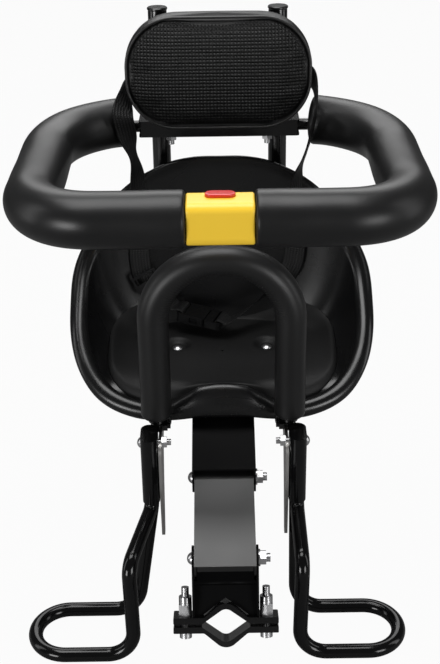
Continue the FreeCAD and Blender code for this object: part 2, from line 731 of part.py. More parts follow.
saddle_mid = (saddle_low + saddle_high) / 2.0
pad_ring = rectangle(-head_half, head_half, head_low, head_high)
head_pad = plate_y(pad_ring, [head_corner] * 4, -head_front, -head_rear)
head_pad = head_pad.makeFillet(9.0, [e for e in head_pad.Edges if e.CenterOfMass.y < -head_front + 0.1])
save("headrest_pad", at_upper(head_pad))
inset = 3.0
shell_ring = rectangle(-head_half + inset, head_half - inset, head_low + inset, head_high - inset)
back_shell = plate_y(shell_ring, [head_corner - inset] * 4, -head_rear, -head_rear + head_shell)
back_shell = back_shell.makeFillet(1.2, [e for e in back_shell.Edges if e.CenterOfMass.y > -head_rear + head_shell - 0.1])
saddle_y0 = -head_rear + head_shell
post_bore = rod(V(post_x, post_y, 0), AZ, post_d + 2.0 * fit, 150)
front_half = plate_z(rectangle(post_x - saddle_half, post_x + saddle_half, saddle_y0, post_y - 0.5), [2] * 4,
                     saddle_low, saddle_high)
rear_half = plate_z(rectangle(post_x - saddle_half, post_x + saddle_half, post_y + 0.5, post_y + 13.0),
                    [2, 2, 6, 6],
                    saddle_low, saddle_high)
screw_x = post_x - saddle_half - 6.0
wing = plate_z(rectangle(post_x - saddle_half - 12.0, post_x, post_y - 5.0, post_y - 0.5), [2, 0.5, 0.5, 2],
               saddle_low + 6, saddle_high - 6)
wing_r = plate_z(rectangle(post_x - saddle_half - 12.0, post_x, post_y + 0.5, post_y + 5.0), [2, 0.5, 0.5, 2],
                 saddle_low + 6, saddle_high - 6)
bolt_hole = rod(V(screw_x, -50, saddle_mid), AY, 5.0 + 2.0 * fit, 100)
front_half = front_half.fuse(wing).cut(post_bore).cut(bolt_hole).removeSplitter()
rear_half = rear_half.fuse(wing_r).cut(post_bore).cut(bolt_hole).removeSplitter()
save("headrest_shell", at_upper(back_shell))
save("headrest_saddles", at_upper(both(front_half)))
save("saddle_caps", at_upper(both(rear_half)))
saddle_screw = rod(V(screw_x, post_y - 9.0, saddle_mid), AY, 5.0, 14.0)
saddle_screw = saddle_screw.fuse(dome(V(screw_x, post_y + 5.0, saddle_mid), AY, 9.0, 3.0))
saddle_nut = hexagon(V(screw_x, post_y - 9.0, saddle_mid), AY, 8.0, 4.0)
saddle_nut = saddle_nut.cut(rod(V(screw_x, post_y - 9.0, saddle_mid), AY, 5.0 + 2.0 * fit, 4.0))
save("saddle_screws", at_upper(both(saddle_screw.removeSplitter())))
save("saddle_nuts", at_upper(both(saddle_nut)))

# Front handle: bent tube with flattened ends, foam grip

handle_pts = [V(-handle_x, handle_y, handle_foam_low - 6), V(-handle_x, handle_y, handle_top),
              V(handle_x, handle_y, handle_top), V(handle_x, handle_y, handle_foam_low - 6)]
handle_line = rounded_path(handle_pts, [handle_r, handle_r])
handle = swept(handle_line, handle_d)
flat_in = side_mid + side_thick / 2.0
flat = plate_x(rectangle(handle_y - tongue_wide / 2.0, handle_y + tongue_wide / 2.0, tongue_low,
                         handle_foam_low - 4),
               [6, 6, 0.5, 0.5], flat_in, flat_in + tongue_flat)
flat = flat.cut(rod(V(0, handle_y, tongue_low + 6), AX, foot_bolt_d + 2.0 * fit, 100))
handle = handle.fuse([flat, mirrored(flat)]).removeSplitter()
save("handle_tube", handle)
grip_pts = [V(-handle_x, handle_y, handle_foam_low), V(-handle_x, handle_y, handle_top),
            V(handle_x, handle_y, handle_top), V(handle_x, handle_y, handle_foam_low)]
grip_line = rounded_path(grip_pts, [handle_r, handle_r])
grip = swept(grip_line, handle_foam_d).cut(swept(grip_line, handle_d + 2.0 * slip))
save("handle_grip", grip)
hz = tongue_low + 6.0
handle_bolt = rod(V(flat_in - side_thick - 8.0, handle_y, hz), AX, foot_bolt_d, tongue_flat + side_thick + 8.0)
handle_bolt = handle_bolt.fuse(dome(V(flat_in + tongue_flat, handle_y, hz), AX, 10.0, 3.5)).removeSplitter()
handle_nut = hexagon(V(flat_in - side_thick - 5.0, handle_y, hz), AX, 10.0, 5.0)
handle_nut = handle_nut.cut(rod(V(flat_in - side_thick - 5.0, handle_y, hz), AX, foot_bolt_d + 2.0 * fit, 5.0))
save("handle_bolts", both(handle_bolt))
save("handle_nuts", both(handle_nut))

# Footrests: one rod bent to a loop, both ends in a flat sleeve

front_leg = foot_y - rod_pitch / 2.0
rear_leg = foot_y + rod_pitch / 2.0
turn_r = (loop_far - loop_near) / 2.0


def footrest(side):
    """Rod bent to a loop; the lower run is set over by the skew that the pair shows."""
    lower = foot_skew
    pts = [V(side * foot_x, front_leg, foot_bolt_z - 12), V(side * foot_x, front_leg, sleeve_low - 8),
           V(side * (loop_in + 2) + lower, loop_near + 7, sleeve_low - 26), V(side * loop_in + lower,
                                                                              loop_near, loop_z),
           V(side * loop_out + lower, loop_near, loop_z), V(side * loop_out + lower, loop_far, loop_z),
           V(side * loop_in + lower, loop_far, loop_z), V(side * foot_x, rear_leg, sleeve_low - 12),
           V(side * foot_x, rear_leg, foot_bolt_z - 12)]
    return swept(rounded_path(pts, [9.5, 18, loop_bend, turn_r - 0.2, turn_r - 0.2, loop_bend, 60]), rod_d)


save("footrest_right", footrest(1))
save("footrest_left", footrest(-1))
in_x = rod_d / 2.0 + 0.1
in_y = rod_pitch / 2.0 + rod_d / 2.0 + 0.1
sleeve = plate_z(rectangle(foot_x - in_x - sleeve_wall, foot_x + in_x + sleeve_wall,
                           foot_y - in_y - sleeve_wall,
                           foot_y + in_y + sleeve_wall), [in_x + sleeve_wall - 0.1] * 4, sleeve_low, sleeve_top)
hollow = plate_z(rectangle(foot_x - in_x, foot_x + in_x, foot_y - in_y, foot_y + in_y), [in_x - 0.05] * 4,
                 sleeve_low,
                 sleeve_top - 2.0)
sleeve = sleeve.cut(hollow).cut(rod(V(0, foot_y, foot_bolt_z), AX, foot_bolt_d + 2.0 * fit, 200))
save("footrest_sleeve_right", sleeve)
save("footrest_sleeve_left", mirrored(sleeve))
out_x = foot_x + in_x + sleeve_wall
nut_x = side_mid - side_thick / 2.0
foot_bolt = rod(V(nut_x - 9.0, foot_y, foot_bolt_z), AX, foot_bolt_d, out_x - nut_x + 9.0)
foot_bolt = foot_bolt.fuse(dome(V(out_x, foot_y, foot_bolt_z), AX, 11.0, 3.5)).removeSplitter()
foot_nut = hexagon(V(nut_x - 5.0, foot_y, foot_bolt_z), AX, 10.0, 5.0)
foot_nut = foot_nut.cut(rod(V(nut_x - 5.0, foot_y, foot_bolt_z), AX, foot_bolt_d + 2.0 * fit, 5.0))
save("footrest_bolts", both(foot_bolt))
save("footrest_nuts", both(foot_nut))

# Harness: flat webbing and a side-release buckle


def strap(stations, wide, thin):
    """Flat band through stations of (point, width direction, facing)."""
    wires = []
    for p, w, n in stations:
        w = V(w).normalize() * (wide / 2.0)
        n = V(n).normalize() * (thin / 2.0)
        wires.append(Part.makePolygon([p + w + n, p - w + n, p - w - n, p + w - n, p + w + n]))
    return Part.makeLoft(wires, True, True)


def rel(x, y, z):
    """Webbing place measured from the guard ring, which the upper ends hang beside."""
    return V(x, y + ring_fore, z + ring_up)


def by_wall(side, inset, fore, up):
    """Webbing place in the bucket: inset from the widest rim, forward of the rear rim and above the pan."""
    return V(side * (seat_half - inset), seat_y + seat_back - fore, pan_z + up)


clasp_turn = FreeCAD.Rotation(V(0.93, -0.34, -0.1), V(0.34, 0.93, 0), AZ, "XYZ")
clasp_at = FreeCAD.Placement(V(-19, seat_y + 26.2, pan_z + 24), clasp_turn)
slide_turn = FreeCAD.Rotation(V(0.48, -0.257, -0.836), V(0.85, 0, 0.5), V(0, -1, 0.35), "XZY")


def on_clasp(x, z, nx, nz):
    """Webbing station given in the frame of the side-release buckle."""
    return (clasp_at.multVec(V(x, 0, z)), clasp_turn.multVec(AY), clasp_turn.multVec(V(nx, 0, nz)))


left_route = [(rel(-69.8, 294, 24), (0, 0, 1), (0, 1, 0)), (rel(-97, 287, 24), (0, 0.15, 1), (-0.4, 1, 0)),
              (rel(-104, 258, 23), (0, -0.5, 1), (-1, 0.3, 0)), (rel(-101, 241, 12), (-1, -0.3, 0.3),
                                                                 (0, -1, -0.2)),
              (rel(-98, 240, -8), (-1, -0.2, 0), (0, -1, 0)), (rel(-91, 246, -38), (-0.7, -0.7, 0),
                                                               (0.7, -0.7, 0)),
              (by_wall(-1, 52, 9.8, 174), (-1, 0, 0), (0, -1, 0.3)), (by_wall(-1, 52, 13.8, 126),
                                                                      (-1, 0, 0), (0, -1, 0)),
              (by_wall(-1, 54, 18.8, 68), (-1, 0, -0.2), (0, -1, 0.2)), (by_wall(-1, 69, 25.4, 45),
                                                                         (-0.8, 0.1, -0.6), (0, -1, 0.5)),
              on_clasp(-33, 4.6, -0.2, 1)]
left_route[-1] = (left_route[-1][0], left_route[-1][1] * -1, left_route[-1][2])
tuck = [on_clasp(-27.5, clasp_half + 1.2, 0, 1), on_clasp(-22.6, clasp_half + 1.2, 0.2, 1),
        on_clasp(-21, 3.5, 1, 0.3),
        on_clasp(-20.9, -3.5, 1, 0)]
left_route += [(p, w * -1, n) for p, w, n in tuck]
save("strap_left", strap(left_route, web_wide, web_thin))
right_route = [(rel(69.8, 294, 27), (0, 0, 1), (0, 1, 0)), (rel(98, 285, 27), (0, 0.1, 1), (0.4, 1, 0)),
               (rel(105, 260, 26), (0, -0.3, 1), (1, 0.3, 0)), (rel(104, 233, 10), (0.6, 0.4, 0),
                                                                (0.4, -0.6, 0)),
               (rel(99, 234, -22), (0.4, 0.5, 0), (0.5, -0.4, 0)), (by_wall(1, 55, 10.8, 174), (1, 0, 0),
                                                                    (0, -1, 0.3)),
               (by_wall(1, 58, 12.8, 126), (1, 0, 0), (0, -1, 0)), (by_wall(1, 64, 17.8, 70),
                                                                    (1, 0, -0.3), (0, -1, 0.2)),
               (by_wall(1, 92, 26.8, 42), (0.8, 0.2, -0.5), (0, -1, 0.6)), on_clasp(29, 4.0, 0.2, 1),
               on_clasp(22.6, latch_half + 1.2, 0, 1), on_clasp(17.6, latch_half + 1.2, -0.2, 1),
               on_clasp(16, 2.5, -1, 0.3), on_clasp(15.9, -3, -1, 0)]
save("strap_right", strap(right_route, web_wide, web_thin))

# Side-release buckle lying over the seat pad, and the strap slide above it

half = web_wide / 2.0
clasp = plate_z(rectangle(-27, 4, -half - 3, half + 3), [4, 3, 3, 4], -clasp_half, clasp_half)
clasp = clasp.cut(plate_z(rectangle(-23, -19, -half - 0.5, half + 0.5), [1] * 4, -6, 6))
clasp = clasp.cut(box(-14, 5, -half - 0.5, half + 0.5, -2.8, 2.8))
for sy in (-1, 1):
    clasp = clasp.cut(box(-12, -3, sy * (half + 4) - 3, sy * (half + 4) + 3, -2.8, 2.8))
prong = plate_z(rectangle(-11, 8, -half + 0.5, -half + 6), [1.5] * 4, -2.5, 2.5)
spine = plate_z(rectangle(-9, 8, -2.5, 2.5), [1] * 4, -2.5, 2.5)
latch = plate_z(rectangle(4.6, 22, -half - 3, half + 3), [1, 4, 4, 1], -latch_half, latch_half)
latch = latch.fuse([prong, prong.mirror(V(0, 0, 0), AY), spine])
latch = latch.cut(plate_z(rectangle(14, 18, -half - 0.5, half + 0.5), [1] * 4, -6, 6)).removeSplitter()
slide = plate_z(rectangle(-13, 13, -half - 2.5, half + 2.5), [2] * 4, -2, 2)
for sx in (-7, 7):
    slide = slide.cut(plate_z(rectangle(sx - 3.5, sx + 3.5, -half - 0.3, half + 0.3), [1] * 4, -3, 3))
clasp.Placement = clasp_at
latch.Placement = clasp_at
slide.Placement = FreeCAD.Placement(by_wall(-1, 60.5, 28.4, 58.6), slide_turn)
save("harness_clasp", clasp)
save("harness_latch", latch)
save("strap_slide", slide)
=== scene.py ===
import json
import math

import bpy
import numpy as np
from mathutils import Matrix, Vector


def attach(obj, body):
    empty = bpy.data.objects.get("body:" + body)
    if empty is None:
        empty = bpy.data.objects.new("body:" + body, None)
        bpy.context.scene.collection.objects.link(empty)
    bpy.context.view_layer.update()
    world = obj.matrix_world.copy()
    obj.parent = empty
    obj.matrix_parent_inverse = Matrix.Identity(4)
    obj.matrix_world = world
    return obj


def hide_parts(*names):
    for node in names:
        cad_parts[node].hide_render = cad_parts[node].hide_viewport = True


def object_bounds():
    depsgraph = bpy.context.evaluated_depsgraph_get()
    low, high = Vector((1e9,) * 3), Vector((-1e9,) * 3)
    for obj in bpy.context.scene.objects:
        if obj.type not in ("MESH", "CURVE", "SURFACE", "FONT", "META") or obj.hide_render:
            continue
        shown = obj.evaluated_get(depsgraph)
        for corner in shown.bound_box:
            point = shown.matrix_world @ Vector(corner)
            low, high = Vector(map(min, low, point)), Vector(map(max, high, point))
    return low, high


bl_info = {
    "name": "Child bike seat dressing",
    "version": (1, 0, 0),
    "blender": (4, 5, 0),
    "location": "3D View > Sidebar > Seat",
    "description": "Dresses the solids of a front child bike seat with foam, cushions, webbing and finishes",
    "category": "Object",
}

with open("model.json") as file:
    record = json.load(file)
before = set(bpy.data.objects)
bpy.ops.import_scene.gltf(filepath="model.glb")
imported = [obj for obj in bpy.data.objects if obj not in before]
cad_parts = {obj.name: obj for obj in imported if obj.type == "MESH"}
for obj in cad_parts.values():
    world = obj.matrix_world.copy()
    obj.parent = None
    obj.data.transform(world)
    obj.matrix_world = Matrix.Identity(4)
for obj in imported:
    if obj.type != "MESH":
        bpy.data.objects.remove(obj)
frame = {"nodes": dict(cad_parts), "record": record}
NODES = frame["nodes"]
CAD_BOX = [list(corner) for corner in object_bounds()]
MM = 0.001


# Properties

class SeatSizes(bpy.types.PropertyGroup):
    """Sizes in millimetres that the pieces are worked out from."""
    seat_y: bpy.props.FloatProperty(
        name="Seat centre", description="Middle of the bucket along the bicycle", default=262.0)
    pan_z: bpy.props.FloatProperty(
        name="Pan height", description="Inside of the seat pan above the clamp", default=145.0)
    wall: bpy.props.FloatProperty(
        name="Shell wall", description="Thickness of the moulded shell", default=4.0)
    seat_half: bpy.props.FloatProperty(
        name="Bucket half width", description="Half width at the rim", default=138.0)
    seat_back: bpy.props.FloatProperty(
        name="Bucket back", description="Reach of the rim to the rear", default=66.0)
    seat_front: bpy.props.FloatProperty(
        name="Bucket front", description="Reach of the rim to the front", default=91.0)
    roll_wide: bpy.props.FloatProperty(
        name="Rim roll width", description="Half width of the rolled rim", default=9.5)
    roll_high: bpy.props.FloatProperty(
        name="Rim roll height", description="Half height of the rolled rim", default=9.0)
    roll_drop: bpy.props.FloatProperty(
        name="Rim roll drop", description="How far the roll hangs under the rim line", default=3.0)
    apron_z: bpy.props.FloatProperty(
        name="Apron edge", description="Lower edge of the front apron in the middle", default=129.0)
    apron_side_z: bpy.props.FloatProperty(
        name="Apron side", description="Lower edge of the front apron by the handle", default=124.0)
    roll_back: bpy.props.FloatProperty(
        name="Back roll share", description="Size of the roll over the back, as a share", default=0.4)
    apron_wall: bpy.props.FloatProperty(
        name="Apron wall", description="Thickness of the front apron", default=3.5)
    upper_y: bpy.props.FloatProperty(
        name="Upper frame fore and aft", description="Guard hinge line", default=341.2)
    upper_z: bpy.props.FloatProperty(
        name="Upper frame height", description="Guard hinge line", default=364.4)
    lean: bpy.props.FloatProperty(
        name="Upper frame lean", description="Degrees that the posts lean back", default=3.5)
    ring_half: bpy.props.FloatProperty(
        name="Guard half width", description="Middle of the guard tube", default=166.0)
    ring_reach: bpy.props.FloatProperty(
        name="Guard reach", description="Hinge line to the front of the guard", default=274.0)
    foam_r: bpy.props.FloatProperty(
        name="Guard foam radius", description="Outside of the guard foam", default=25.0)
    grip_r: bpy.props.FloatProperty(
        name="Grip foam radius", description="Outside of the front handle foam", default=15.0)
    web_wide: bpy.props.FloatProperty(
        name="Webbing width", description="Width of the harness webbing", default=22.0)
    web_thin: bpy.props.FloatProperty(
        name="Webbing thickness", description="Thickness of the harness webbing", default=1.6)


class SeatColours(bpy.types.PropertyGroup):
    """Base colours of the finishes."""
    shell: bpy.props.FloatVectorProperty(
        name="Shell", description="Moulded black plastic", subtype="COLOR", default=(0.004, 0.004, 0.0042))
    foam: bpy.props.FloatVectorProperty(
        name="Foam", description="Closed-cell foam", subtype="COLOR", default=(0.007, 0.007, 0.0072))
    fabric: bpy.props.FloatVectorProperty(
        name="Headrest", description="Headrest cover and piping", subtype="COLOR",
        default=(0.006, 0.006, 0.0062))
    webbing: bpy.props.FloatVectorProperty(
        name="Webbing", description="Woven harness", subtype="COLOR", default=(0.006, 0.006, 0.0062))
    paint: bpy.props.FloatVectorProperty(
        name="Paint", description="Black coat on the steel", subtype="COLOR",
        default=(0.003, 0.003, 0.0032))
    buckle: bpy.props.FloatVectorProperty(
        name="Buckle", description="Guard buckle", subtype="COLOR", default=(0.86, 0.56, 0.038))
    button: bpy.props.FloatVectorProperty(
        name="Button", description="Release button", subtype="COLOR", default=(0.55, 0.014, 0.014))
    steel: bpy.props.FloatVectorProperty(
        name="Steel", description="Plated fasteners", subtype="COLOR", default=(0.62, 0.62, 0.63))
    plate: bpy.props.FloatVectorProperty(
        name="Plate", description="Bright coat of the side plates", subtype="COLOR",
        default=(0.5, 0.49, 0.48))
    pan_fabric: bpy.props.FloatVectorProperty(
        name="Seat cushion", description="Cover of the seat cushion", subtype="COLOR",
        default=(0.003, 0.003, 0.0031))


def sizes():
    return bpy.context.scene.seat_sizes


def colours():
    return bpy.context.scene.seat_colours


# Mesh helpers

def quads(nu, nv, wrap_u=True, wrap_v=False):
    """Quad corners of a grid of nu by nv points kept row by row."""
    rows = np.arange(nu if wrap_u else nu - 1)
    columns = np.arange(nv if wrap_v else nv - 1)
    a, b = np.meshgrid(rows, columns, indexing="ij")
    a2 = (a + 1) % nu
    b2 = (b + 1) % nv
    return np.stack([a * nv + b, a2 * nv + b, a2 * nv + b2, a * nv + b2], -1).reshape(-1, 4)


def put(name, points, faces, cover, body, replaced=(), caps=(), uv=None):
    """New mesh object from points in millimetres; the whole is turned outwards by the sign of its volume."""
    tri = np.concatenate([faces[:, [0, 1, 2]], faces[:, [0, 2, 3]]])
    p = points[tri]
    if np.einsum("ij,ij->i", p[:, 0], np.cross(p[:, 1], p[:, 2])).sum() < 0:
        faces = faces[:, ::-1]
        caps = [list(c)[::-1] for c in caps]
    mesh = bpy.data.meshes.new(name)
    mesh.from_pydata((points * MM).tolist(), [], faces.tolist() + [list(c) for c in caps])
    if uv is not None:
        layer = mesh.uv_layers.new(name="UVMap")
        index = np.empty(len(mesh.loops), np.int32)
        mesh.loops.foreach_get("vertex_index", index)
        layer.data.foreach_set("uv", uv[index].astype(np.float32).ravel())
    mesh.polygons.foreach_set("use_smooth", np.ones(len(mesh.polygons), bool))
    mesh.update()
    obj = bpy.data.objects.new(name, mesh)
    bpy.context.scene.collection.objects.link(obj)
    obj.data.materials.append(cover)
    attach(obj, body)
    if replaced:
        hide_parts(*replaced)
    return obj


def from_upper(points):
    """Points of the leaning upper frame set into the part's frame: turned back about x, then moved."""
    s = sizes()
    a = math.radians(s.lean)
    y = points[..., 1] * math.cos(a) + points[..., 2] * math.sin(a)
    z = points[..., 2] * math.cos(a) - points[..., 1] * math.sin(a)
    return np.stack([points[..., 0], y + s.upper_y, z + s.upper_z], -1)


def run(p, q, step):
    """Evenly spaced points from p up to, and without, q."""
    n = max(2, int(np.linalg.norm(np.subtract(q, p)) / step))
    t = np.linspace(0.0, 1.0, n, endpoint=False)[:, None]
    return np.asarray(p, float) + t * (np.asarray(q, float) - np.asarray(p, float))


def arc(centre, u, v, start, stop, radius, step):
    """Points on a circle in the plane of u and v, between two angles in degrees."""
    n = max(4, int(abs(math.radians(stop - start)) * radius / step))
    t = np.radians(np.linspace(start, stop, n, endpoint=False))[:, None]
    centre, u, v = (np.asarray(item, float) for item in (centre, u, v))
    return centre + radius * (np.cos(t) * u + np.sin(t) * v)


def tube(path, normal, radius, sides):
    """Round tube on a flat path: the path plus the radius times the turning of its side and normal."""
    ahead = np.gradient(path, axis=0)
    ahead /= np.linalg.norm(ahead, axis=1)[:, None]
    normal = np.broadcast_to(np.asarray(normal, float), path.shape)
    side = np.cross(ahead, normal)
    side /= np.linalg.norm(side, axis=1)[:, None]
    t = np.linspace(0.0, 2.0 * math.pi, sides, endpoint=False)
    r = np.broadcast_to(radius, (len(path), sides))[..., None]
    cosine, sine = np.cos(t)[None, :, None], np.sin(t)[None, :, None]
    return path[:, None] + r * (cosine * side[:, None] + sine * normal[:, None])


def closed_tube(grid):
    """Faces and end caps of a tube grid of rings."""
    rings, sides = grid.shape[:2]
    faces = quads(rings, sides, wrap_u=False, wrap_v=True)
    first = list(range(sides))[::-1]
    last = list(range((rings - 1) * sides, rings * sides))
    return grid.reshape(-1, 3), faces, [first, last]


def mask_attribute(mesh, name, values):
    """A value for each point of the mesh, which a material can read by name."""
    layer = mesh.attributes.new(name, "FLOAT", "POINT")
    layer.data.foreach_set("value", np.asarray(values, np.float32))


def smooth(x, low, high):
    """Eased step: 0 below low, 1 above high."""
    t = np.clip((x - low) / (high - low), 0.0, 1.0)
    return t * t * (3.0 - 2.0 * t)


def cubic(t, d, a, b, slope_a, slope_b):
    """Cubic between two values over a step of d, with the slope given at each."""
    return ((2 * t ** 3 - 3 * t ** 2 + 1) * a + (t ** 3 - 2 * t ** 2 + t) * d * slope_a
            + (3 * t ** 2 - 2 * t ** 3) * b + (t ** 3 - t ** 2) * d * slope_b)


# Node groups and finishes

def new_group(name, inputs, outputs):
    group = bpy.data.node_groups.new(name, "ShaderNodeTree")
    for label, value in inputs:
        socket = group.interface.new_socket(label, in_out="INPUT", socket_type="NodeSocketFloat")
        socket.default_value = value
    for label in outputs:
        group.interface.new_socket(label, in_out="OUTPUT", socket_type="NodeSocketFloat")
    return group, group.nodes.new("NodeGroupInput"), group.nodes.new("NodeGroupOutput")


def math_node(tree, operation, a, b=None):
    node = tree.nodes.new("ShaderNodeMath")
    node.operation = operation
    for i, value in enumerate((a, b)):
        if value is None:
            continue
        if isinstance(value, (int, float)):
            node.inputs[i].default_value = value
        else:
            tree.links.new(value, node.inputs[i])
    return node.outputs[0]


def grain_group():
    """Moulding grain: fine noise over slow noise gives a height and a drift of roughness."""
    sockets = [("Fine", 900.0), ("Slow", 14.0), ("Low", 0.2), ("High", 0.35)]
    tree, inp, out = new_group("Moulded grain", sockets, ["Height", "Roughness"])
    where = tree.nodes.new("ShaderNodeTexCoord")
    fine = tree.nodes.new("ShaderNodeTexNoise")
    slow = tree.nodes.new("ShaderNodeTexNoise")
    slow.inputs["Detail"].default_value = 4.0
    tree.links.new(where.outputs["Object"], fine.inputs["Vector"])
    tree.links.new(where.outputs["Object"], slow.inputs["Vector"])
    tree.links.new(inp.outputs["Fine"], fine.inputs["Scale"])
    tree.links.new(inp.outputs["Slow"], slow.inputs["Scale"])
    spread = tree.nodes.new("ShaderNodeMapRange")
    spread.inputs["From Min"].default_value = 0.3
    spread.inputs["From Max"].default_value = 0.7
    tree.links.new(slow.outputs["Fac"], spread.inputs["Value"])
    tree.links.new(inp.outputs["Low"], spread.inputs["To Min"])
    tree.links.new(inp.outputs["High"], spread.inputs["To Max"])
    tree.links.new(fine.outputs["Fac"], out.inputs["Height"])
    tree.links.new(spread.outputs["Result"], out.inputs["Roughness"])
    return tree


def dots_group():
    """Raised dots: the root of the product of two cosines, across and up the panel, each from 0 to 1."""
    tree, inp, out = new_group("Woven dots", [("Pitch", 0.0034)], ["Height"])
    where = tree.nodes.new("ShaderNodeTexCoord")
    split = tree.nodes.new("ShaderNodeSeparateXYZ")
    tree.links.new(where.outputs["Object"], split.inputs[0])
    turn = math_node(tree, "DIVIDE", 2.0 * math.pi, inp.outputs["Pitch"])
    across = math_node(tree, "COSINE", math_node(tree, "MULTIPLY", split.outputs["X"], turn))
    upwards = math_node(tree, "COSINE", math_node(tree, "MULTIPLY", split.outputs["Z"], turn))
    a = math_node(tree, "ADD", math_node(tree, "MULTIPLY", across, 0.5), 0.5)
    b = math_node(tree, "ADD", math_node(tree, "MULTIPLY", upwards, 0.5), 0.5)
    tree.links.new(math_node(tree, "SQRT", math_node(tree, "MULTIPLY", a, b)), out.inputs["Height"])
    return tree


def weave_group():
    """Flat webbing: picks along the length, leaning one way and the other across each rib of the width."""
    tree, inp, out = new_group("Webbing weave", [("Picks", 420.0), ("Ribs", 7.0)], ["Height"])
    where = tree.nodes.new("ShaderNodeTexCoord")
    split = tree.nodes.new("ShaderNodeSeparateXYZ")
    tree.links.new(where.outputs["UV"], split.inputs[0])
    across = math_node(tree, "MULTIPLY", split.outputs["Y"], inp.outputs["Ribs"])
    zig = math_node(tree, "PINGPONG", across, 0.5)
    along = math_node(tree, "MULTIPLY", split.outputs["X"], inp.outputs["Picks"])
    leaning = math_node(tree, "ADD", along, zig)
    wave = math_node(tree, "SINE", math_node(tree, "MULTIPLY", leaning, 2.0 * math.pi))
    rib = math_node(tree, "ABSOLUTE", math_node(tree, "SINE", math_node(tree, "MULTIPLY", across, math.pi)))
    height = math_node(tree, "ADD", math_node(tree, "MULTIPLY", wave, 0.35), rib)
    tree.links.new(height, out.inputs["Height"])
    return tree


def shared(name, maker):
    return bpy.data.node_groups.get(name) or maker()


def finish(name, colour, roughness, metallic=0.0, coat=0.0, specular=0.5):
    """A new material with its plain values on the shader."""
    material = bpy.data.materials.new(name)
    material.use_nodes = True
    tree = material.node_tree
    shader = tree.nodes["Principled BSDF"]
    shader.inputs["Base Color"].default_value = (*colour, 1.0)
    shader.inputs["Roughness"].default_value = roughness
    shader.inputs["Metallic"].default_value = metallic
    shader.inputs["Coat Weight"].default_value = coat
    shader.inputs["Coat Roughness"].default_value = 0.08
    shader.inputs["Specular IOR Level"].default_value = specular
    return material, tree, shader


def bump(tree, shader, height, strength, distance):
    node = tree.nodes.new("ShaderNodeBump")
    node.inputs["Strength"].default_value = strength
    node.inputs["Distance"].default_value = distance
    tree.links.new(height, node.inputs["Height"])
    tree.links.new(node.outputs["Normal"], shader.inputs["Normal"])


def grained(name, colour, fine, low, high, strength, **values):
    """A finish whose roughness drifts and whose surface has a fine grain."""
    material, tree, shader = finish(name, colour, (low + high) / 2.0, **values)
    group = tree.nodes.new("ShaderNodeGroup")
    group.node_tree = shared("Moulded grain", grain_group)
    group.inputs["Fine"].default_value = fine
    group.inputs["Low"].default_value = low
    group.inputs["High"].default_value = high
    tree.links.new(group.outputs["Roughness"], shader.inputs["Roughness"])
    bump(tree, shader, group.outputs["Height"], strength, 0.0004)
    return material


def dotted(name, colour):
    """Cushion cover with raised dots on the face that its panel mask marks, with painted shade in the hollows
    between the dots.
    """
    material, tree, shader = finish(name, colour, 0.5, specular=0.24)
    dots = tree.nodes.new("ShaderNodeGroup")
    dots.node_tree = shared("Woven dots", dots_group)
    grain = tree.nodes.new("ShaderNodeGroup")
    grain.node_tree = shared("Moulded grain", grain_group)
    grain.inputs["Fine"].default_value = 1400.0
    grain.inputs["Low"].default_value = 0.34
    grain.inputs["High"].default_value = 0.46
    panel = tree.nodes.new("ShaderNodeAttribute")
    panel.attribute_name = "panel"
    raised = math_node(tree, "MULTIPLY", dots.outputs["Height"], panel.outputs["Fac"])
    height = math_node(tree, "ADD", raised, math_node(tree, "MULTIPLY", grain.outputs["Height"], 0.08))
    tree.links.new(grain.outputs["Roughness"], shader.inputs["Roughness"])
    # Painted shade: the colour follows the dot height, dark in the hollows between the dots and lighter on
    # their tops.
    mix = tree.nodes.new("ShaderNodeMix")
    mix.data_type = "RGBA"
    mix.inputs["A"].default_value = (*[c * 0.2 for c in colour], 1.0)
    mix.inputs["B"].default_value = (*[c * 0.9 for c in colour], 1.0)
    tree.links.new(raised, mix.inputs["Factor"])
    tree.links.new(mix.outputs["Result"], shader.inputs["Base Color"])
    bump(tree, shader, height, 1.0, 0.0012)
    return material


def woven(name, colour):
    """Harness webbing with picks and ribs, rougher in the hollows and darker there by painted shade."""
    material, tree, shader = finish(name, colour, 0.55, specular=0.2)
    weave = tree.nodes.new("ShaderNodeGroup")
    weave.node_tree = shared("Webbing weave", weave_group)
    # Painted shade: the colour follows the weave height, dark in the hollows and lighter on the raised picks
    # and ribs.
    mix = tree.nodes.new("ShaderNodeMix")
    mix.data_type = "RGBA"
    mix.inputs["A"].default_value = (*[c * 0.2 for c in colour], 1.0)
    mix.inputs["B"].default_value = (*[c * 1.2 for c in colour], 1.0)
    tree.links.new(weave.outputs["Height"], mix.inputs["Factor"])
    tree.links.new(mix.outputs["Result"], shader.inputs["Base Color"])
    gain = math_node(tree, "MULTIPLY", weave.outputs["Height"], 0.2)
    tree.links.new(math_node(tree, "SUBTRACT", 0.62, gain), shader.inputs["Roughness"])
    bump(tree, shader, weave.outputs["Height"], 0.8, 0.0005)
    return material


# Each finish: name, colour, the grain's scale, lowest and highest roughness, bump and shader values

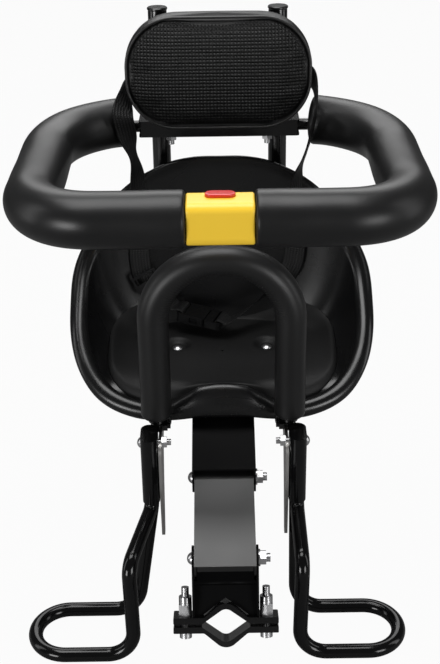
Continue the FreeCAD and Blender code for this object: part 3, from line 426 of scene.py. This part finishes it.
FINISHES = {
    "shell": ("Gloss shell plastic", "shell", 260.0, 0.22, 0.3, 0.02, {"specular": 0.42}),
    "foam": ("Satin foam", "foam", 1100.0, 0.32, 0.42, 0.12, {"specular": 0.33}),
    "cushion": ("Dotted cushion", "fabric", {}),
    "plain": ("Plain cushion", "pan_fabric", 800.0, 0.52, 0.64, 0.3, {"specular": 0.3}),
    "piping": ("Piping", "fabric", 900.0, 0.35, 0.45, 0.1, {}),
    "webbing": ("Woven webbing", "webbing", {}),
    "paint": ("Black coat", "paint", 420.0, 0.16, 0.24, 0.05, {"coat": 0.3}),
    "matte": ("Matte black coat", "paint", 420.0, 0.4, 0.5, 0.05, {"specular": 0.05}),
    "tube": ("Smooth black coat", "paint", 420.0, 0.1, 0.16, 0.03, {"specular": 0.3}),
    "satin": ("Satin black coat", "paint", 420.0, 0.3, 0.38, 0.05, {"specular": 0.85}),
    "plate": ("Bright coated plate", "plate", 420.0, 0.3, 0.42, 0.03, {"metallic": 1.0}),
    "buckle": ("Yellow plastic", "buckle", 500.0, 0.3, 0.38, 0.02, {}),
    "button": ("Red plastic", "button", 500.0, 0.12, 0.18, 0.0, {"coat": 0.6}),
    "steel": ("Plated steel", "steel", 700.0, 0.22, 0.36, 0.08, {"metallic": 1.0}),
    "clip": ("Clip plastic", "shell", 700.0, 0.1, 0.18, 0.03, {"specular": 0.7}),
}


def material(key):
    """Each finish is made once and kept by its name."""
    name, colour, *grain, values = FINISHES[key]
    found = bpy.data.materials.get(name)
    if found:
        return found
    base = tuple(getattr(colours(), colour))
    if key == "cushion":
        return dotted(name, base)
    if key == "webbing":
        return woven(name, base)
    return grained(name, base, *grain, **values)


# Bucket surface

RIM_KEYS = np.array([(0, 187), (25, 186), (43, 178), (58, 156), (70, 114), (80, 84), (90, 61), (101, 42),
                     (112, 19), (124, -3), (138, -13), (150, -12), (158, -3), (166, 5), (180, 8)], float)
PAN = (92.0, 52.0, 76.0)
SQUARE = (2.6, 3.4)
WALL_TURN = 66.0
CREST_SHIFT = 0.6
UNDER_TURN = 75.0


def rim_height(angle):
    """Rim above the pan: a cubic between the key heights, with slopes from the keys on both sides."""
    a = np.concatenate([[-RIM_KEYS[1, 0]], RIM_KEYS[:, 0], [360.0 - RIM_KEYS[-2, 0]]])
    h = np.concatenate([[RIM_KEYS[1, 1]], RIM_KEYS[:, 1], [RIM_KEYS[-2, 1]]])
    slope = (h[2:] - h[:-2]) / (a[2:] - a[:-2])
    x = np.abs(angle)
    i = np.clip(np.searchsorted(RIM_KEYS[:, 0], x, side="left") - 1, 0, len(RIM_KEYS) - 2)
    d = RIM_KEYS[i + 1, 0] - RIM_KEYS[i, 0]
    t = (x - RIM_KEYS[i, 0]) / d
    return cubic(t, d, RIM_KEYS[i, 1], RIM_KEYS[i + 1, 1], slope[i], slope[i + 1])


def oval(angle, half, back, front):
    """Superellipse radius by polar angle from the rear, squarer towards the front."""
    s = np.sin(np.radians(angle))
    c = np.cos(np.radians(angle))
    power = SQUARE[0] + (SQUARE[1] - SQUARE[0]) * 0.5 * (1.0 - c)
    reach = np.where(c > 0, back, front)
    return (np.abs(s / half) ** power + np.abs(c / reach) ** power) ** (-1.0 / power)


def rim_radius(angle):
    s = sizes()
    return oval(angle, s.seat_half, s.seat_back, s.seat_front)


def ray(angle, radius, height):
    """Points at a polar radius and a height over the pan, in the part's frame."""
    s = sizes()
    a = np.radians(angle)
    x, y = radius * np.sin(a), s.seat_y + radius * np.cos(a)
    return np.stack(np.broadcast_arrays(x, y, s.pan_z + height), -1)


def bowl(angle, phi, off):
    """Bucket wall: radius grows by the sine of phi, height by one less its cosine, then off outwards."""
    pan = oval(angle, *PAN)
    full = math.radians(WALL_TURN)
    p = np.radians(phi * WALL_TURN / 90.0)
    wide = (rim_radius(angle) - pan) / math.sin(full)
    high = rim_height(angle) / (1.0 - math.cos(full))
    across, down = high * np.sin(p), wide * np.cos(p)
    norm = np.hypot(across, down)
    radius = pan + wide * np.sin(p) + off * across / norm
    return ray(angle, radius, high * (1.0 - np.cos(p)) - off * down / norm)


def roll_frame(angle):
    """Half width, half height, middle radius and middle height of the rolled rim, slimmer over the back."""
    s = sizes()
    share = s.roll_back + (1.0 - s.roll_back) * smooth(np.abs(angle), 40.0, 82.0)
    start = math.asin(s.roll_drop / s.roll_high)
    wide, high = s.roll_wide * share, s.roll_high * share
    return wide, high, rim_radius(angle) + wide * math.cos(start), rim_height(angle) - s.roll_drop * share


def apron(angle):
    """Share and depth of the apron that the front of the roll is drawn down into."""
    s = sizes()
    level = roll_frame(angle)[3]
    edge = s.apron_side_z + (s.apron_z - s.apron_side_z) * smooth(np.abs(angle), 150.0, 172.0) - s.pan_z
    return smooth(np.abs(angle), 141.0, 153.0), np.maximum(level - edge, 0.0)


def roll(angle, turn):
    """Rolled rim: an oval bead outside the rim line, whose outer quarter reaches down in front."""
    wide, high, middle, level = roll_frame(angle)
    share, depth = apron(angle)
    t = math.radians(turn)
    shift = CREST_SHIFT * share
    crest = middle - shift * wide
    if turn >= 90.0:
        return ray(angle, crest + (1.0 - shift) * wide * math.cos(t), level + high * math.sin(t))
    deep = share * depth
    height = level - deep + (high + deep) * math.sin(t)
    return ray(angle, crest + (1.0 + shift) * wide * math.cos(t), height)


def roll_under(angle, u):
    """Underside of the roll, from the wall at 0 to the outside at 1, and the apron's inside in front."""
    s = sizes()
    wide, high, middle, level = roll_frame(angle)
    share, depth = apron(angle)
    t = math.radians(-UNDER_TURN * (1.0 - u))
    inset = s.apron_wall * min(1.0, (1.0 - u) / 0.1)
    radius = wide * math.cos(t) * (1.0 - share) + (wide - inset) * share
    height = high * math.sin(t) * (1.0 - share) - depth * min(1.0, u / 0.9) * share
    return ray(angle, middle + radius, level + height)


def bowl_height(x, y):
    """Height of the inside of the bucket over a plan point, by turning the wall formula round."""
    s = sizes()
    angle = np.degrees(np.arctan2(x, y - s.seat_y))
    radius = np.hypot(x, y - s.seat_y)
    pan = oval(angle, *PAN)
    full = math.radians(WALL_TURN)
    k = np.clip((radius - pan) / (rim_radius(angle) - pan), 0.0, 1.0) * math.sin(full)
    return s.pan_z + rim_height(angle) * (1.0 - np.sqrt(1.0 - k * k)) / (1.0 - math.cos(full))


class SEAT_OT_bucket(bpy.types.Operator):
    """Moulded bucket: underside, outer wall, rolled rim, inner wall and pan, by angle and section"""
    bl_idname = "seat.bucket"
    bl_label = "Bucket"

    def execute(self, context):
        s = sizes()
        count = 320
        angle = np.linspace(-180.0, 180.0, count, endpoint=False)
        start = 180.0 - math.degrees(math.asin(s.roll_drop / s.roll_high))
        rows = [ray(angle, oval(angle, *PAN) * k, -s.wall) for k in (0.03, 0.3, 0.6, 0.85)]
        rows += [bowl(angle, phi, s.wall) for phi in np.linspace(0, 84, 22)]
        rows += [roll_under(angle, u) for u in np.linspace(0.0, 0.97, 14)]
        rows += [roll(angle, turn) for turn in np.linspace(0.0, start, 34)]
        rows += [bowl(angle, phi, 0.0) for phi in np.linspace(87, 0, 30)]
        rows += [ray(angle, oval(angle, *PAN) * k, 0.0) for k in (0.85, 0.6, 0.3, 0.03)]
        grid = np.stack(rows, 1)
        n = grid.shape[1]
        faces = quads(count, n, wrap_u=True)
        caps = [[i * n for i in range(count)][::-1], [i * n + n - 1 for i in range(count)]]
        bucket = put("bucket_shell", grid.reshape(-1, 3), faces, material("shell"), "seat_body",
                     ("seat_shell",), caps)
        return {"FINISHED"}


class SEAT_OT_cushion(bpy.types.Operator):
    """Seat cushion: an oval lying in the bucket, eased to a round edge and dished round the screws"""
    bl_idname = "seat.cushion"
    bl_label = "Seat cushion"

    def execute(self, context):
        half, front_deep, back_deep, middle_y = 118.0, 79.0, 71.0, 246.0
        thickness, clear, flat = 5.4, 0.9, 0.93
        screw_x, screw_y = 47.0, 262.0
        t = np.linspace(0.0, 2.0 * math.pi, 240, endpoint=False)
        edge_turn = np.linspace(0.1, 1.0, 14) * math.pi / 2.0
        k = np.concatenate([np.linspace(0.01, flat, 44), flat + (1.0 - flat) * np.sin(edge_turn)])
        kk, tt = np.meshgrid(k, t, indexing="ij")
        front = np.sin(tt) < 0.0
        power = np.where(front, 3.4, 3.6)
        deep = np.where(front, front_deep, back_deep)
        reach = (np.abs(np.cos(tt) / half) ** power + np.abs(np.sin(tt) / deep) ** power) ** (-1.0 / power)
        x = reach * kk * np.cos(tt)
        pull = np.where(front, 1.0 - 0.13 * np.exp(-(x / 48.0) ** 2), 1.0)
        y = middle_y + reach * kk * np.sin(tt) * pull
        ground = bowl_height(x, y) + clear
        edge = np.sqrt(np.clip(1.0 - smooth(kk, flat, 1.0) ** 2, 0.0, 1.0))
        screw = np.minimum(np.hypot(x - screw_x, y - screw_y), np.hypot(x + screw_x, y - screw_y))
        dish = smooth(screw, 8.0, 15.0)
        thick = thickness * edge * (0.12 + 0.88 * dish) + 0.05
        upper = np.stack([x, y, ground + thick], -1)
        lower = np.stack([x, y, ground], -1)[::-1]
        grid = np.concatenate([upper, lower], 0)
        points, faces, caps = closed_tube(grid)
        pad = put("seat_cushion", points, faces, material("plain"), "seat_body", ("seat_pad",), caps)
        return {"FINISHED"}


# Headrest

def rounded(half_w, half_h, radius, count):
    """Rounded rectangle: the corner centres plus the radius turned through a full circle."""
    t = np.linspace(0.0, 2.0 * math.pi, count, endpoint=False) + math.pi / count
    return np.stack([np.sign(np.cos(t)) * (half_w - radius) + radius * np.cos(t),
                     np.sign(np.sin(t)) * (half_h - radius) + radius * np.sin(t)], -1)


def swell(obj, voxel, cap, held):
    """Padded form: remeshed evenly, blown by cloth pressure, each point moved no further than the cap."""
    scene = bpy.context.scene
    remesh = obj.modifiers.new("Remesh", "REMESH")
    remesh.mode = "VOXEL"
    remesh.voxel_size = voxel
    graph = bpy.context.evaluated_depsgraph_get()
    mesh = bpy.data.meshes.new_from_object(obj.evaluated_get(graph))
    obj.modifiers.clear()
    for slot in obj.data.materials:
        if slot and slot.name not in mesh.materials:
            mesh.materials.append(slot)
    old = obj.data
    obj.data = mesh
    bpy.data.meshes.remove(old)
    rest = np.empty(len(mesh.vertices) * 3)
    mesh.vertices.foreach_get("co", rest)
    rest = rest.reshape(-1, 3)
    group = obj.vertex_groups.new(name="held")
    group.add(np.nonzero(held(rest))[0].tolist(), 1.0, "REPLACE")
    cloth = obj.modifiers.new("Cloth", "CLOTH")
    cloth.settings.use_pressure = True
    cloth.settings.uniform_pressure_force = 4.0
    cloth.settings.effector_weights.gravity = 0.0
    cloth.settings.vertex_group_mass = "held"
    for step in range(1, 21):
        scene.frame_set(step)
    graph = bpy.context.evaluated_depsgraph_get()
    blown = obj.evaluated_get(graph).data
    now = np.empty(len(blown.vertices) * 3)
    blown.vertices.foreach_get("co", now)
    move = now.reshape(-1, 3) - rest
    far = np.maximum(np.linalg.norm(move, axis=1), 1e-9)
    rest = rest + move * np.minimum(1.0, cap / far)[:, None]
    obj.modifiers.clear()
    obj.vertex_groups.clear()
    scene.frame_set(1)
    mesh.vertices.foreach_set("co", rest.ravel())
    mesh.polygons.foreach_set("use_smooth", np.ones(len(mesh.polygons), bool))
    mesh.update()
    return rest


class SEAT_OT_headrest(bpy.types.Operator):
    """Headrest cushion: rounded oblongs from the back to a crowned face, blown by cloth, with piping"""
    bl_idname = "seat.headrest"
    bl_label = "Headrest"

    def execute(self, context):
        half_w, half_h, corner, middle_z = 93.0, 57.0, 51.0, 62.2
        count, loop = 120, 160
        stations = [(-5.2, 4.0), (-8.0, 1.0), (-14.0, 0.0), (-22.0, 0.4), (-29.0, 1.6), (-33.0, 3.4),
                    (-35.6, 8.0), (-37.0, 16.0), (-38.0, 30.0), (-38.4, 50.0)]
        rows = []
        for y, inset in stations:
            ring = rounded(half_w - inset, half_h - inset, max(corner - inset, 2.0), count)
            rows.append(np.stack([ring[:, 0], np.full(count, y), ring[:, 1] + middle_z], -1))
        points, faces, caps = closed_tube(from_upper(np.stack(rows)))
        pad = put("headrest_cushion", points, faces, material("cushion"), "seat_body",
                  ("headrest_pad",), caps)
        s = sizes()
        a = math.radians(s.lean)

        def depth(co):
            return (co[:, 1] / MM - s.upper_y) * math.cos(a) - (co[:, 2] / MM - s.upper_z) * math.sin(a)
        rest = swell(pad, 0.004, 0.0016, lambda co: depth(co) > -9.0)
        mask_attribute(pad.data, "panel", 1.0 - smooth(depth(rest), -35.0, -33.6))
        sub = pad.modifiers.new("Smooth", "SUBSURF")
        sub.levels = 1
        sub.render_levels = 1
        piping_in, piping_y, piping_r, sides = 2.0, -33.0, 1.4, 10
        ring = rounded(half_w - piping_in, half_h - piping_in, corner - piping_in, loop)
        path = np.stack([ring[:, 0], np.full(loop, piping_y), ring[:, 1] + middle_z], -1)
        grid = tube(np.concatenate([path[-1:], path, path[:1]]), (0, 1, 0), piping_r, sides)[1:-1]
        faces = quads(loop, sides, wrap_u=True, wrap_v=True)
        cord = put("headrest_piping", from_upper(grid).reshape(-1, 3), faces, material("piping"), "seat_body")
        return {"FINISHED"}


# Foam sleeves

def sleeve_ends(path, radius, lip):
    """Length and radius along a foam sleeve, rounded off at both cut ends with a faint lip."""
    along = np.concatenate([[0.0], np.cumsum(np.linalg.norm(np.diff(path, axis=0), axis=1))])
    near = np.minimum(along, along[-1] - along)
    fall = np.sqrt(np.clip(1.0 - (1.0 - np.clip(near / 3.0, 0.0, 1.0)) ** 2, 0.0, 1.0))
    return along, radius - 3.0 * (1.0 - fall) + lip * np.exp(-((near - 4.0) / 2.2) ** 2)


class SEAT_OT_guard(bpy.types.Operator):
    """Guard foam: a round profile carried along each bent arm, slightly uneven, with rolled cut ends"""
    bl_idname = "seat.guard"
    bl_label = "Guard foam"

    def execute(self, context):
        s = sizes()
        h, r = s.ring_half, s.ring_reach
        ends = np.array([0.0, 0.15, 0.5, 1.0, 1.7, 2.5])
        bend, tube_bend, front_bend, foam_stop = 100.0, 70.0, 60.0, 29.6
        start = math.asin((bend - tube_bend) / bend)
        turn = start + ends / bend
        path = np.concatenate([
            np.stack([h - bend + bend * np.sin(turn), bend * np.cos(turn) - bend, np.zeros(6)], -1),
            arc((h - bend, -bend, 0), (0, 1, 0), (1, 0, 0), math.degrees(start + 3.0 / bend), 90, bend, 3.0),
            run((h, -bend, 0), (h, front_bend - r, 0), 3.0),
            arc((h - front_bend, front_bend - r, 0), (1, 0, 0), (0, -1, 0), 0, 90, front_bend, 3.0),
            run((h - front_bend, -r, 0), (foam_stop + 2.9, -r, 0), 3.0),
            np.stack([foam_stop + ends[::-1], np.full(6, -r), np.zeros(6)], -1)])
        path[:, 2] += 6.0 * smooth(path[:, 1], -150.0, -5.0)
        along, radius = sleeve_ends(path, s.foam_r - 0.2, 0.25)
        t = np.linspace(0.0, 2.0 * math.pi, 72, endpoint=False)
        far = along[:, None]
        uneven = 0.12 * np.sin(far / 23.0 + 2.0 * t) + 0.08 * np.sin(far / 9.0 - 3.0 * t)
        grid = tube(path, (0, 0, 1), radius[:, None] + uneven * smooth(along, 6, 20)[:, None], 72)
        for side, body, name in ((1, "guard_right", "right"), (-1, "guard_left", "left")):
            points, faces, caps = closed_tube(from_upper(grid * (side, 1, 1)))
            foam = put("guard_foam_" + name, points, faces, material("foam"), body,
                       ("arm_foam_" + name,), caps)
        return {"FINISHED"}


class SEAT_OT_grip(bpy.types.Operator):
    """Handle foam: a round profile along the bent handle, creased finely on the inside of both bends"""
    bl_idname = "seat.grip"
    bl_label = "Handle foam"

    def execute(self, context):
        s = sizes()
        x, y, top, r, low = 64.5, 131.2, 312.0, 62.0, 146.0
        ends = np.array([0.0, 0.2, 0.6, 1.2, 2.0, 3.0])
        path = np.concatenate([
            np.stack([np.full(6, -x), np.full(6, y), low + ends], -1),
            run((-x, y, low + 4.0), (-x, y, top - r), 2.5),
            arc((r - x, y, top - r), (-1, 0, 0), (0, 0, 1), 0, 90, r, 0.6),
            run((r - x, y, top), (x - r, y, top), 1.0),
            arc((x - r, y, top - r), (0, 0, 1), (1, 0, 0), 0, 90, r, 0.6),
            run((x, y, top - r), (x, y, low + 4.0), 2.5),
            np.stack([np.full(6, x), np.full(6, y), low + ends[::-1]], -1)])
        along, radius = sleeve_ends(path, s.grip_r - 0.15, 0.2)
        t = np.linspace(0.0, 2.0 * math.pi, 64, endpoint=False)
        z = path[:, 2]
        in_bend = smooth(z, top - r - 6.0, top - r + 14.0) * (1.0 - 0.4 * smooth(z, top - 8.0, top))
        inside = np.clip(-np.cos(t), 0.0, 1.0) ** 1.5
        wave = np.sin(along[:, None] * 2.0 * math.pi / 3.2 + 0.6 * np.sin(3.0 * t))
        crease = 0.32 * in_bend[:, None] * inside * wave
        grid = tube(path, (0, 1, 0), radius[:, None] + crease, 64)
        points, faces, caps = closed_tube(grid)
        foam = put("handle_foam", points, faces, material("foam"), "seat_body", ("handle_grip",), caps)
        return {"FINISHED"}


# Harness

GUARD_FRONT = np.array((0.0, 67.2, 381.0))
CLASP_X = np.array((0.93, -0.34, -0.1)) / np.linalg.norm((0.93, -0.34, -0.1))
CLASP_AT = GUARD_FRONT + (-19.0, 221.0, -212.0)


def clasp_frame():
    """Axes of the side-release buckle: along it, across it and out of it."""
    y = np.array((0.34, 0.93, 0.0))
    y = y - CLASP_X * (y @ CLASP_X)
    y /= np.linalg.norm(y)
    return np.stack([CLASP_X, y, np.cross(CLASP_X, y)])


def on_clasp(x, z, nx, nz, flip):
    """Webbing station in the frame of the side-release buckle: point, width direction and facing."""
    axes = clasp_frame()
    return (CLASP_AT + x * axes[0] + z * axes[2], flip * axes[1], nx * axes[0] + nz * axes[2])


def rel(x, y, z, w, n):
    """Webbing station measured from the middle of the guard's front: point, width direction and facing."""
    return (GUARD_FRONT + (x, y, z), np.array(w, float), np.array(n, float))


def band(stations, wide, thin, spacing):
    """Flat band: a smooth cubic runs through the stations and carries a thin rounded oblong across it."""
    p = np.array([a for a, b, c in stations])
    w = np.array([b / np.linalg.norm(b) for a, b, c in stations])
    n = np.array([c / np.linalg.norm(c) for a, b, c in stations])
    gap = np.sqrt(np.linalg.norm(np.diff(p, axis=0), axis=1))
    knots = np.concatenate([[0.0], np.cumsum(gap)])

    def through(values):
        ext = np.concatenate([[2 * values[0] - values[1]], values, [2 * values[-1] - values[-2]]])
        kn = np.concatenate([[2 * knots[0] - knots[1]], knots, [2 * knots[-1] - knots[-2]]])
        rise = np.diff(ext, axis=0) / np.diff(kn)[:, None]
        slope = (rise[:-1] + rise[1:]) / 2.0
        i = np.clip(np.searchsorted(knots, fine, side="right") - 1, 0, len(knots) - 2)
        d = (knots[i + 1] - knots[i])[:, None]
        t = ((fine - knots[i]) / d[:, 0])[:, None]
        return cubic(t, d, values[i], values[i + 1], slope[i], slope[i + 1])
    total = np.linalg.norm(np.diff(p, axis=0), axis=1).sum()
    fine = np.linspace(0.0, knots[-1], int(total / spacing))
    line = through(p)
    width = through(w)
    width /= np.linalg.norm(width, axis=1)[:, None]
    face = through(n)
    face -= width * np.einsum("ij,ij->i", face, width)[:, None]
    face /= np.linalg.norm(face, axis=1)[:, None]
    upper = np.array([-1.0, -0.97, -0.8, -0.4, 0.0, 0.4, 0.8, 0.97])
    raised = np.array([0.0, 0.7, 1.0, 1.0, 1.0, 1.0, 1.0, 0.7])
    across, lift = np.concatenate([upper, -upper]), np.concatenate([raised, -raised])
    out = width[:, None] * (across * wide / 2.0)[None, :, None]
    grid = line[:, None] + out + face[:, None] * (lift * thin / 2.0)[None, :, None]
    along = np.concatenate([[0.0], np.cumsum(np.linalg.norm(np.diff(line, axis=0), axis=1))]) * MM
    uv = np.stack(np.broadcast_arrays(along[:, None], (across * 0.5 + 0.5)[None, :]), -1).reshape(-1, 2)
    return grid, uv


class SEAT_OT_harness(bpy.types.Operator):
    """Harness webbing: a flat band carried through the places where it hangs, turns and meets the buckle"""
    bl_idname = "seat.harness"
    bl_label = "Harness"

    def execute(self, context):
        s = sizes()
        left = [
            rel(-69.8, 294, 24, (0, 0, 1), (0, 1, 0)), rel(-90, 287, 22, (0, 0.15, 1), (-0.4, 1, 0)),
            rel(-93.5, 262, 19, (-0.5, -0.3, 0.8), (-0.7, -0.5, -0.5)),
            rel(-96, 239, 8, (-0.95, -0.3, 0.2), (0.2, -0.9, -0.2)),
            rel(-93, 240, -12, (-0.85, -0.5, 0), (0.5, -0.85, 0)),
            rel(-88, 244, -36, (-0.25, -0.97, 0), (0.97, -0.25, 0)),
            rel(-85, 250, -62, (-0.6, -0.8, 0), (0.8, -0.6, 0.2)),
            rel(-85, 247, -110, (-1, 0, 0), (0, -1, 0)),
            rel(-84, 242, -168, (-1, 0, -0.2), (0, -1, 0.2)),
            rel(-69, 235.4, -191, (-0.8, 0.1, -0.6), (0, -1, 0.5)), on_clasp(-33, 4.6, -0.2, 1, -1),
            on_clasp(-27.5, 6.2, 0, 1, -1), on_clasp(-22.6, 6.2, 0.2, 1, -1),
            on_clasp(-21, 3.5, 1, 0.3, -1), on_clasp(-20.9, -3.5, 1, 0, -1)]
        right = [
            rel(69.8, 294, 27, (0, 0, 1), (0, 1, 0)), rel(90, 285, 32, (0, 0.1, 1), (0.4, 1, 0)),
            rel(97, 262, 30, (0.1, 0.5, 1), (1, 0.3, 0)),
            rel(95, 230, 11, (0.25, 0.97, 0), (0.97, -0.25, 0)),
            rel(90.5, 228, -16, (0.25, 0.97, 0), (0.97, -0.25, 0)),
            rel(86, 239, -38, (0.28, 0.96, 0), (0.96, -0.28, 0)),
            rel(80, 249, -62, (0.5, 0.86, 0), (0.86, -0.5, 0.2)),
            rel(79, 247, -110, (1, 0, 0), (0, -1, 0)), rel(74, 242, -166, (1, 0, -0.3), (0, -1, 0.2)),
            rel(46, 234, -194, (0.35, 0.8, -0.3), (0.2, -0.4, 0.9)), on_clasp(29, 4.0, 0.2, 1, 1),
            on_clasp(22.6, 5.2, 0, 1, 1), on_clasp(17.6, 5.2, -0.2, 1, 1),
            on_clasp(16, 2.5, -1, 0.3, 1), on_clasp(15.9, -3, -1, 0, 1)]
        for name, stations in (("left", left), ("right", right)):
            grid, uv = band(stations, s.web_wide, s.web_thin, 1.2)
            points, faces, caps = closed_tube(grid)
            strap = put("webbing_" + name, points, faces, material("webbing"), "seat_body",
                        ("strap_" + name,), caps, uv)
        return {"FINISHED"}


class SEAT_OT_clamp(bpy.types.Operator):
    """Clamp web: two plates between the bracket's ears, inside and behind the link, by their outlines"""
    bl_idname = "seat.clamp"
    bl_label = "Clamp web"

    def execute(self, context):
        front = np.array([(28.9, 37.2), (28.9, 41.2), (26.6, 41.8), (26.6, 55.5)])
        rear = np.array([(28.9, 32.0), (28.9, 50.0)])
        slope = math.radians(20.0)
        for name, half, near, far in (("clamp_web", front, -4.0, 0.0), ("clamp_web_rear", rear, 7.5, 9.5)):
            ring = np.concatenate([half, half[::-1] * (-1.0, 1.0)])
            x, z = ring[:, 0], ring[:, 1]
            y = np.array([far, near])[:, None]
            across, up = y * math.cos(slope) + z * math.sin(slope), z * math.cos(slope) - y * math.sin(slope)
            points, faces, caps = closed_tube(np.stack(np.broadcast_arrays(x, across, up), -1))
            web = put(name, points, faces, material("matte"), "clamp_base", (), caps)
        return {"FINISHED"}


class SEAT_OT_hardware(bpy.types.Operator):
    """Finishes for the solids that stay: coated steel, plated fasteners, clips, yellow and red plastic"""
    bl_idname = "seat.hardware"
    bl_label = "Hardware finishes"

    def execute(self, context):
        by_slot = {"shell_plastic": "shell", "pad_fabric": "plain", "foam": "foam", "webbing": "webbing",
                   "buckle_yellow": "buckle", "button_red": "button", "black_metal": "paint",
                   "plate_metal": "plate", "bright_steel": "steel"}
        own = {"harness_clasp": "clip", "harness_latch": "clip", "strap_slide": "clip", "link": "satin",
               "upper_channel": "matte", "lower_bracket": "matte",
               "footrest_left": "tube", "footrest_right": "tube",
               "footrest_sleeve_left": "tube", "footrest_sleeve_right": "tube"}
        for entry in frame["record"]["subparts"]:
            node = NODES[entry["node"]]
            key = own.get(entry["node"], by_slot[entry["material_slot"]])
            node.data.materials.clear()
            node.data.materials.append(material(key))
        return {"FINISHED"}


# Lamps: name, place, aim, width and height in metres, and watts

LAMPS = (
    ("lamp_top", (-0.15, 0.17, 1.7), (0.0, 0.2, 0.3), 1.1, 1.0, 22.0),
    ("lamp_back", (0.0, 1.7, 1.4), (0.0, 0.2, 0.3), 1.8, 0.9, 19.0),
    ("lamp_left", (-1.6, 0.0, 0.7), (0.0, 0.2, 0.25), 0.4, 1.5, 5.0),
    ("lamp_right", (1.6, 0.0, 0.7), (0.0, 0.2, 0.25), 0.4, 1.5, 5.0),
    ("lamp_front_left", (-1.5, -1.8, 0.36), (0.0, 0.1, 0.3), 0.9, 0.8, 26.0),
    ("lamp_front_right", (1.5, -1.8, 0.5), (0.0, 0.1, 0.3), 0.9, 0.9, 22.0),
)


class SEAT_OT_stage(bpy.types.Operator):
    """Camera at the photograph's angle, pale floor, white surround and soft studio lamps"""
    bl_idname = "seat.stage"
    bl_label = "Stage"

    def execute(self, context):
        scene = context.scene
        scene.view_settings.view_transform = "Standard"
        camera = bpy.data.cameras.new("camera")
        focal, image_high = 1300.0, 664.0
        camera.sensor_width = 36.0
        camera.lens = focal / image_high * camera.sensor_width
        camera.shift_x = -2.0 / image_high
        view = bpy.data.objects.new("camera", camera)
        scene.collection.objects.link(view)
        pitch = Matrix.Rotation(math.radians(61.0), 4, "X")
        tilt = Matrix.Rotation(math.radians(-0.8), 4, "Z")
        view.matrix_world = Matrix.Translation((0.0, -0.9328, 0.827)) @ pitch @ tilt
        scene.camera = view
        self.floor()
        self.surround(scene)
        for lamp in LAMPS:
            self.lamp(*lamp)
        return {"FINISHED"}

    def floor(self):
        """Square floor just under the part, grey to the lamps and near white to the camera."""
        reach, z = 4.0, CAD_BOX[0][2] - 0.0005
        points = [(-reach, -reach, z), (reach, -reach, z), (reach, reach, z), (-reach, reach, z)]
        mesh = bpy.data.meshes.new("floor")
        mesh.from_pydata(points, [], [(0, 1, 2, 3)])
        floor = bpy.data.objects.new("floor", mesh)
        bpy.context.scene.collection.objects.link(floor)
        pale = bpy.data.materials.new("Pale floor")
        pale.use_nodes = True
        tree = pale.node_tree
        shader = tree.nodes["Principled BSDF"]
        shader.inputs["Base Color"].default_value = (0.2, 0.2, 0.2, 1.0)
        shader.inputs["Roughness"].default_value = 0.9
        glow = tree.nodes.new("ShaderNodeEmission")
        mix = tree.nodes.new("ShaderNodeMixShader")
        path = tree.nodes.new("ShaderNodeLightPath")
        seen = math_node(tree, "MULTIPLY", path.outputs["Is Camera Ray"], 0.96)
        tree.links.new(seen, mix.inputs[0])
        tree.links.new(shader.outputs[0], mix.inputs[1])
        tree.links.new(glow.outputs[0], mix.inputs[2])
        tree.links.new(mix.outputs[0], tree.nodes["Material Output"].inputs["Surface"])
        mesh.materials.append(pale)

    def surround(self, scene):
        """White to the camera, and a faint even light to everything else."""
        world = bpy.data.worlds.new("surround")
        scene.world = world
        world.use_nodes = True
        tree = world.node_tree
        back = tree.nodes["Background"]
        path = tree.nodes.new("ShaderNodeLightPath")
        ambient = 0.09
        seen = math_node(tree, "MULTIPLY", path.outputs["Is Camera Ray"], 1.0 - ambient)
        level = math_node(tree, "ADD", seen, ambient)
        tree.links.new(level, back.inputs["Strength"])
        back.inputs["Color"].default_value = (1.0, 1.0, 1.0, 1.0)

    def lamp(self, name, place, aim, wide, high, power):
        """Rectangular lamp at its place, turned to its aim."""
        light = bpy.data.lights.new(name, "AREA")
        light.shape = "RECTANGLE"
        light.size = wide
        light.size_y = high
        light.energy = power
        obj = bpy.data.objects.new(name, light)
        bpy.context.scene.collection.objects.link(obj)
        z = np.subtract(place, aim)
        z /= np.linalg.norm(z)
        x = np.cross((0.0, 1.0, 0.0) if abs(z[2]) > 0.95 else (0.0, 0.0, 1.0), z)
        x /= np.linalg.norm(x)
        y = np.cross(z, x)
        axes = np.eye(4)
        axes[:3] = np.stack([x, y, z, place], -1)
        obj.matrix_world = Matrix(axes.tolist())


class SEAT_PT_pieces(bpy.types.Panel):
    """Sidebar list of the seat's pieces"""
    bl_label = "Child bike seat"
    bl_idname = "SEAT_PT_pieces"
    bl_space_type = "VIEW_3D"
    bl_region_type = "UI"
    bl_category = "Seat"

    def draw(self, context):
        for step in STEPS:
            self.layout.operator(step.bl_idname)


STEPS = (SEAT_OT_stage, SEAT_OT_hardware, SEAT_OT_clamp, SEAT_OT_bucket, SEAT_OT_cushion, SEAT_OT_headrest,
         SEAT_OT_guard, SEAT_OT_grip, SEAT_OT_harness)
CLASSES = (SeatSizes, SeatColours, *STEPS, SEAT_PT_pieces)


def register():
    for cls in CLASSES:
        bpy.utils.register_class(cls)
    bpy.types.Scene.seat_sizes = bpy.props.PointerProperty(type=SeatSizes)
    bpy.types.Scene.seat_colours = bpy.props.PointerProperty(type=SeatColours)


def unregister():
    del bpy.types.Scene.seat_colours
    del bpy.types.Scene.seat_sizes
    for cls in reversed(CLASSES):
        bpy.utils.unregister_class(cls)


def main():
    register()
    bpy.ops.seat.stage()
    bpy.ops.seat.hardware()
    bpy.ops.seat.clamp()
    bpy.ops.seat.bucket()
    bpy.ops.seat.cushion()
    bpy.ops.seat.headrest()
    bpy.ops.seat.guard()
    bpy.ops.seat.grip()
    bpy.ops.seat.harness()


if __name__ == "__main__":
    main()
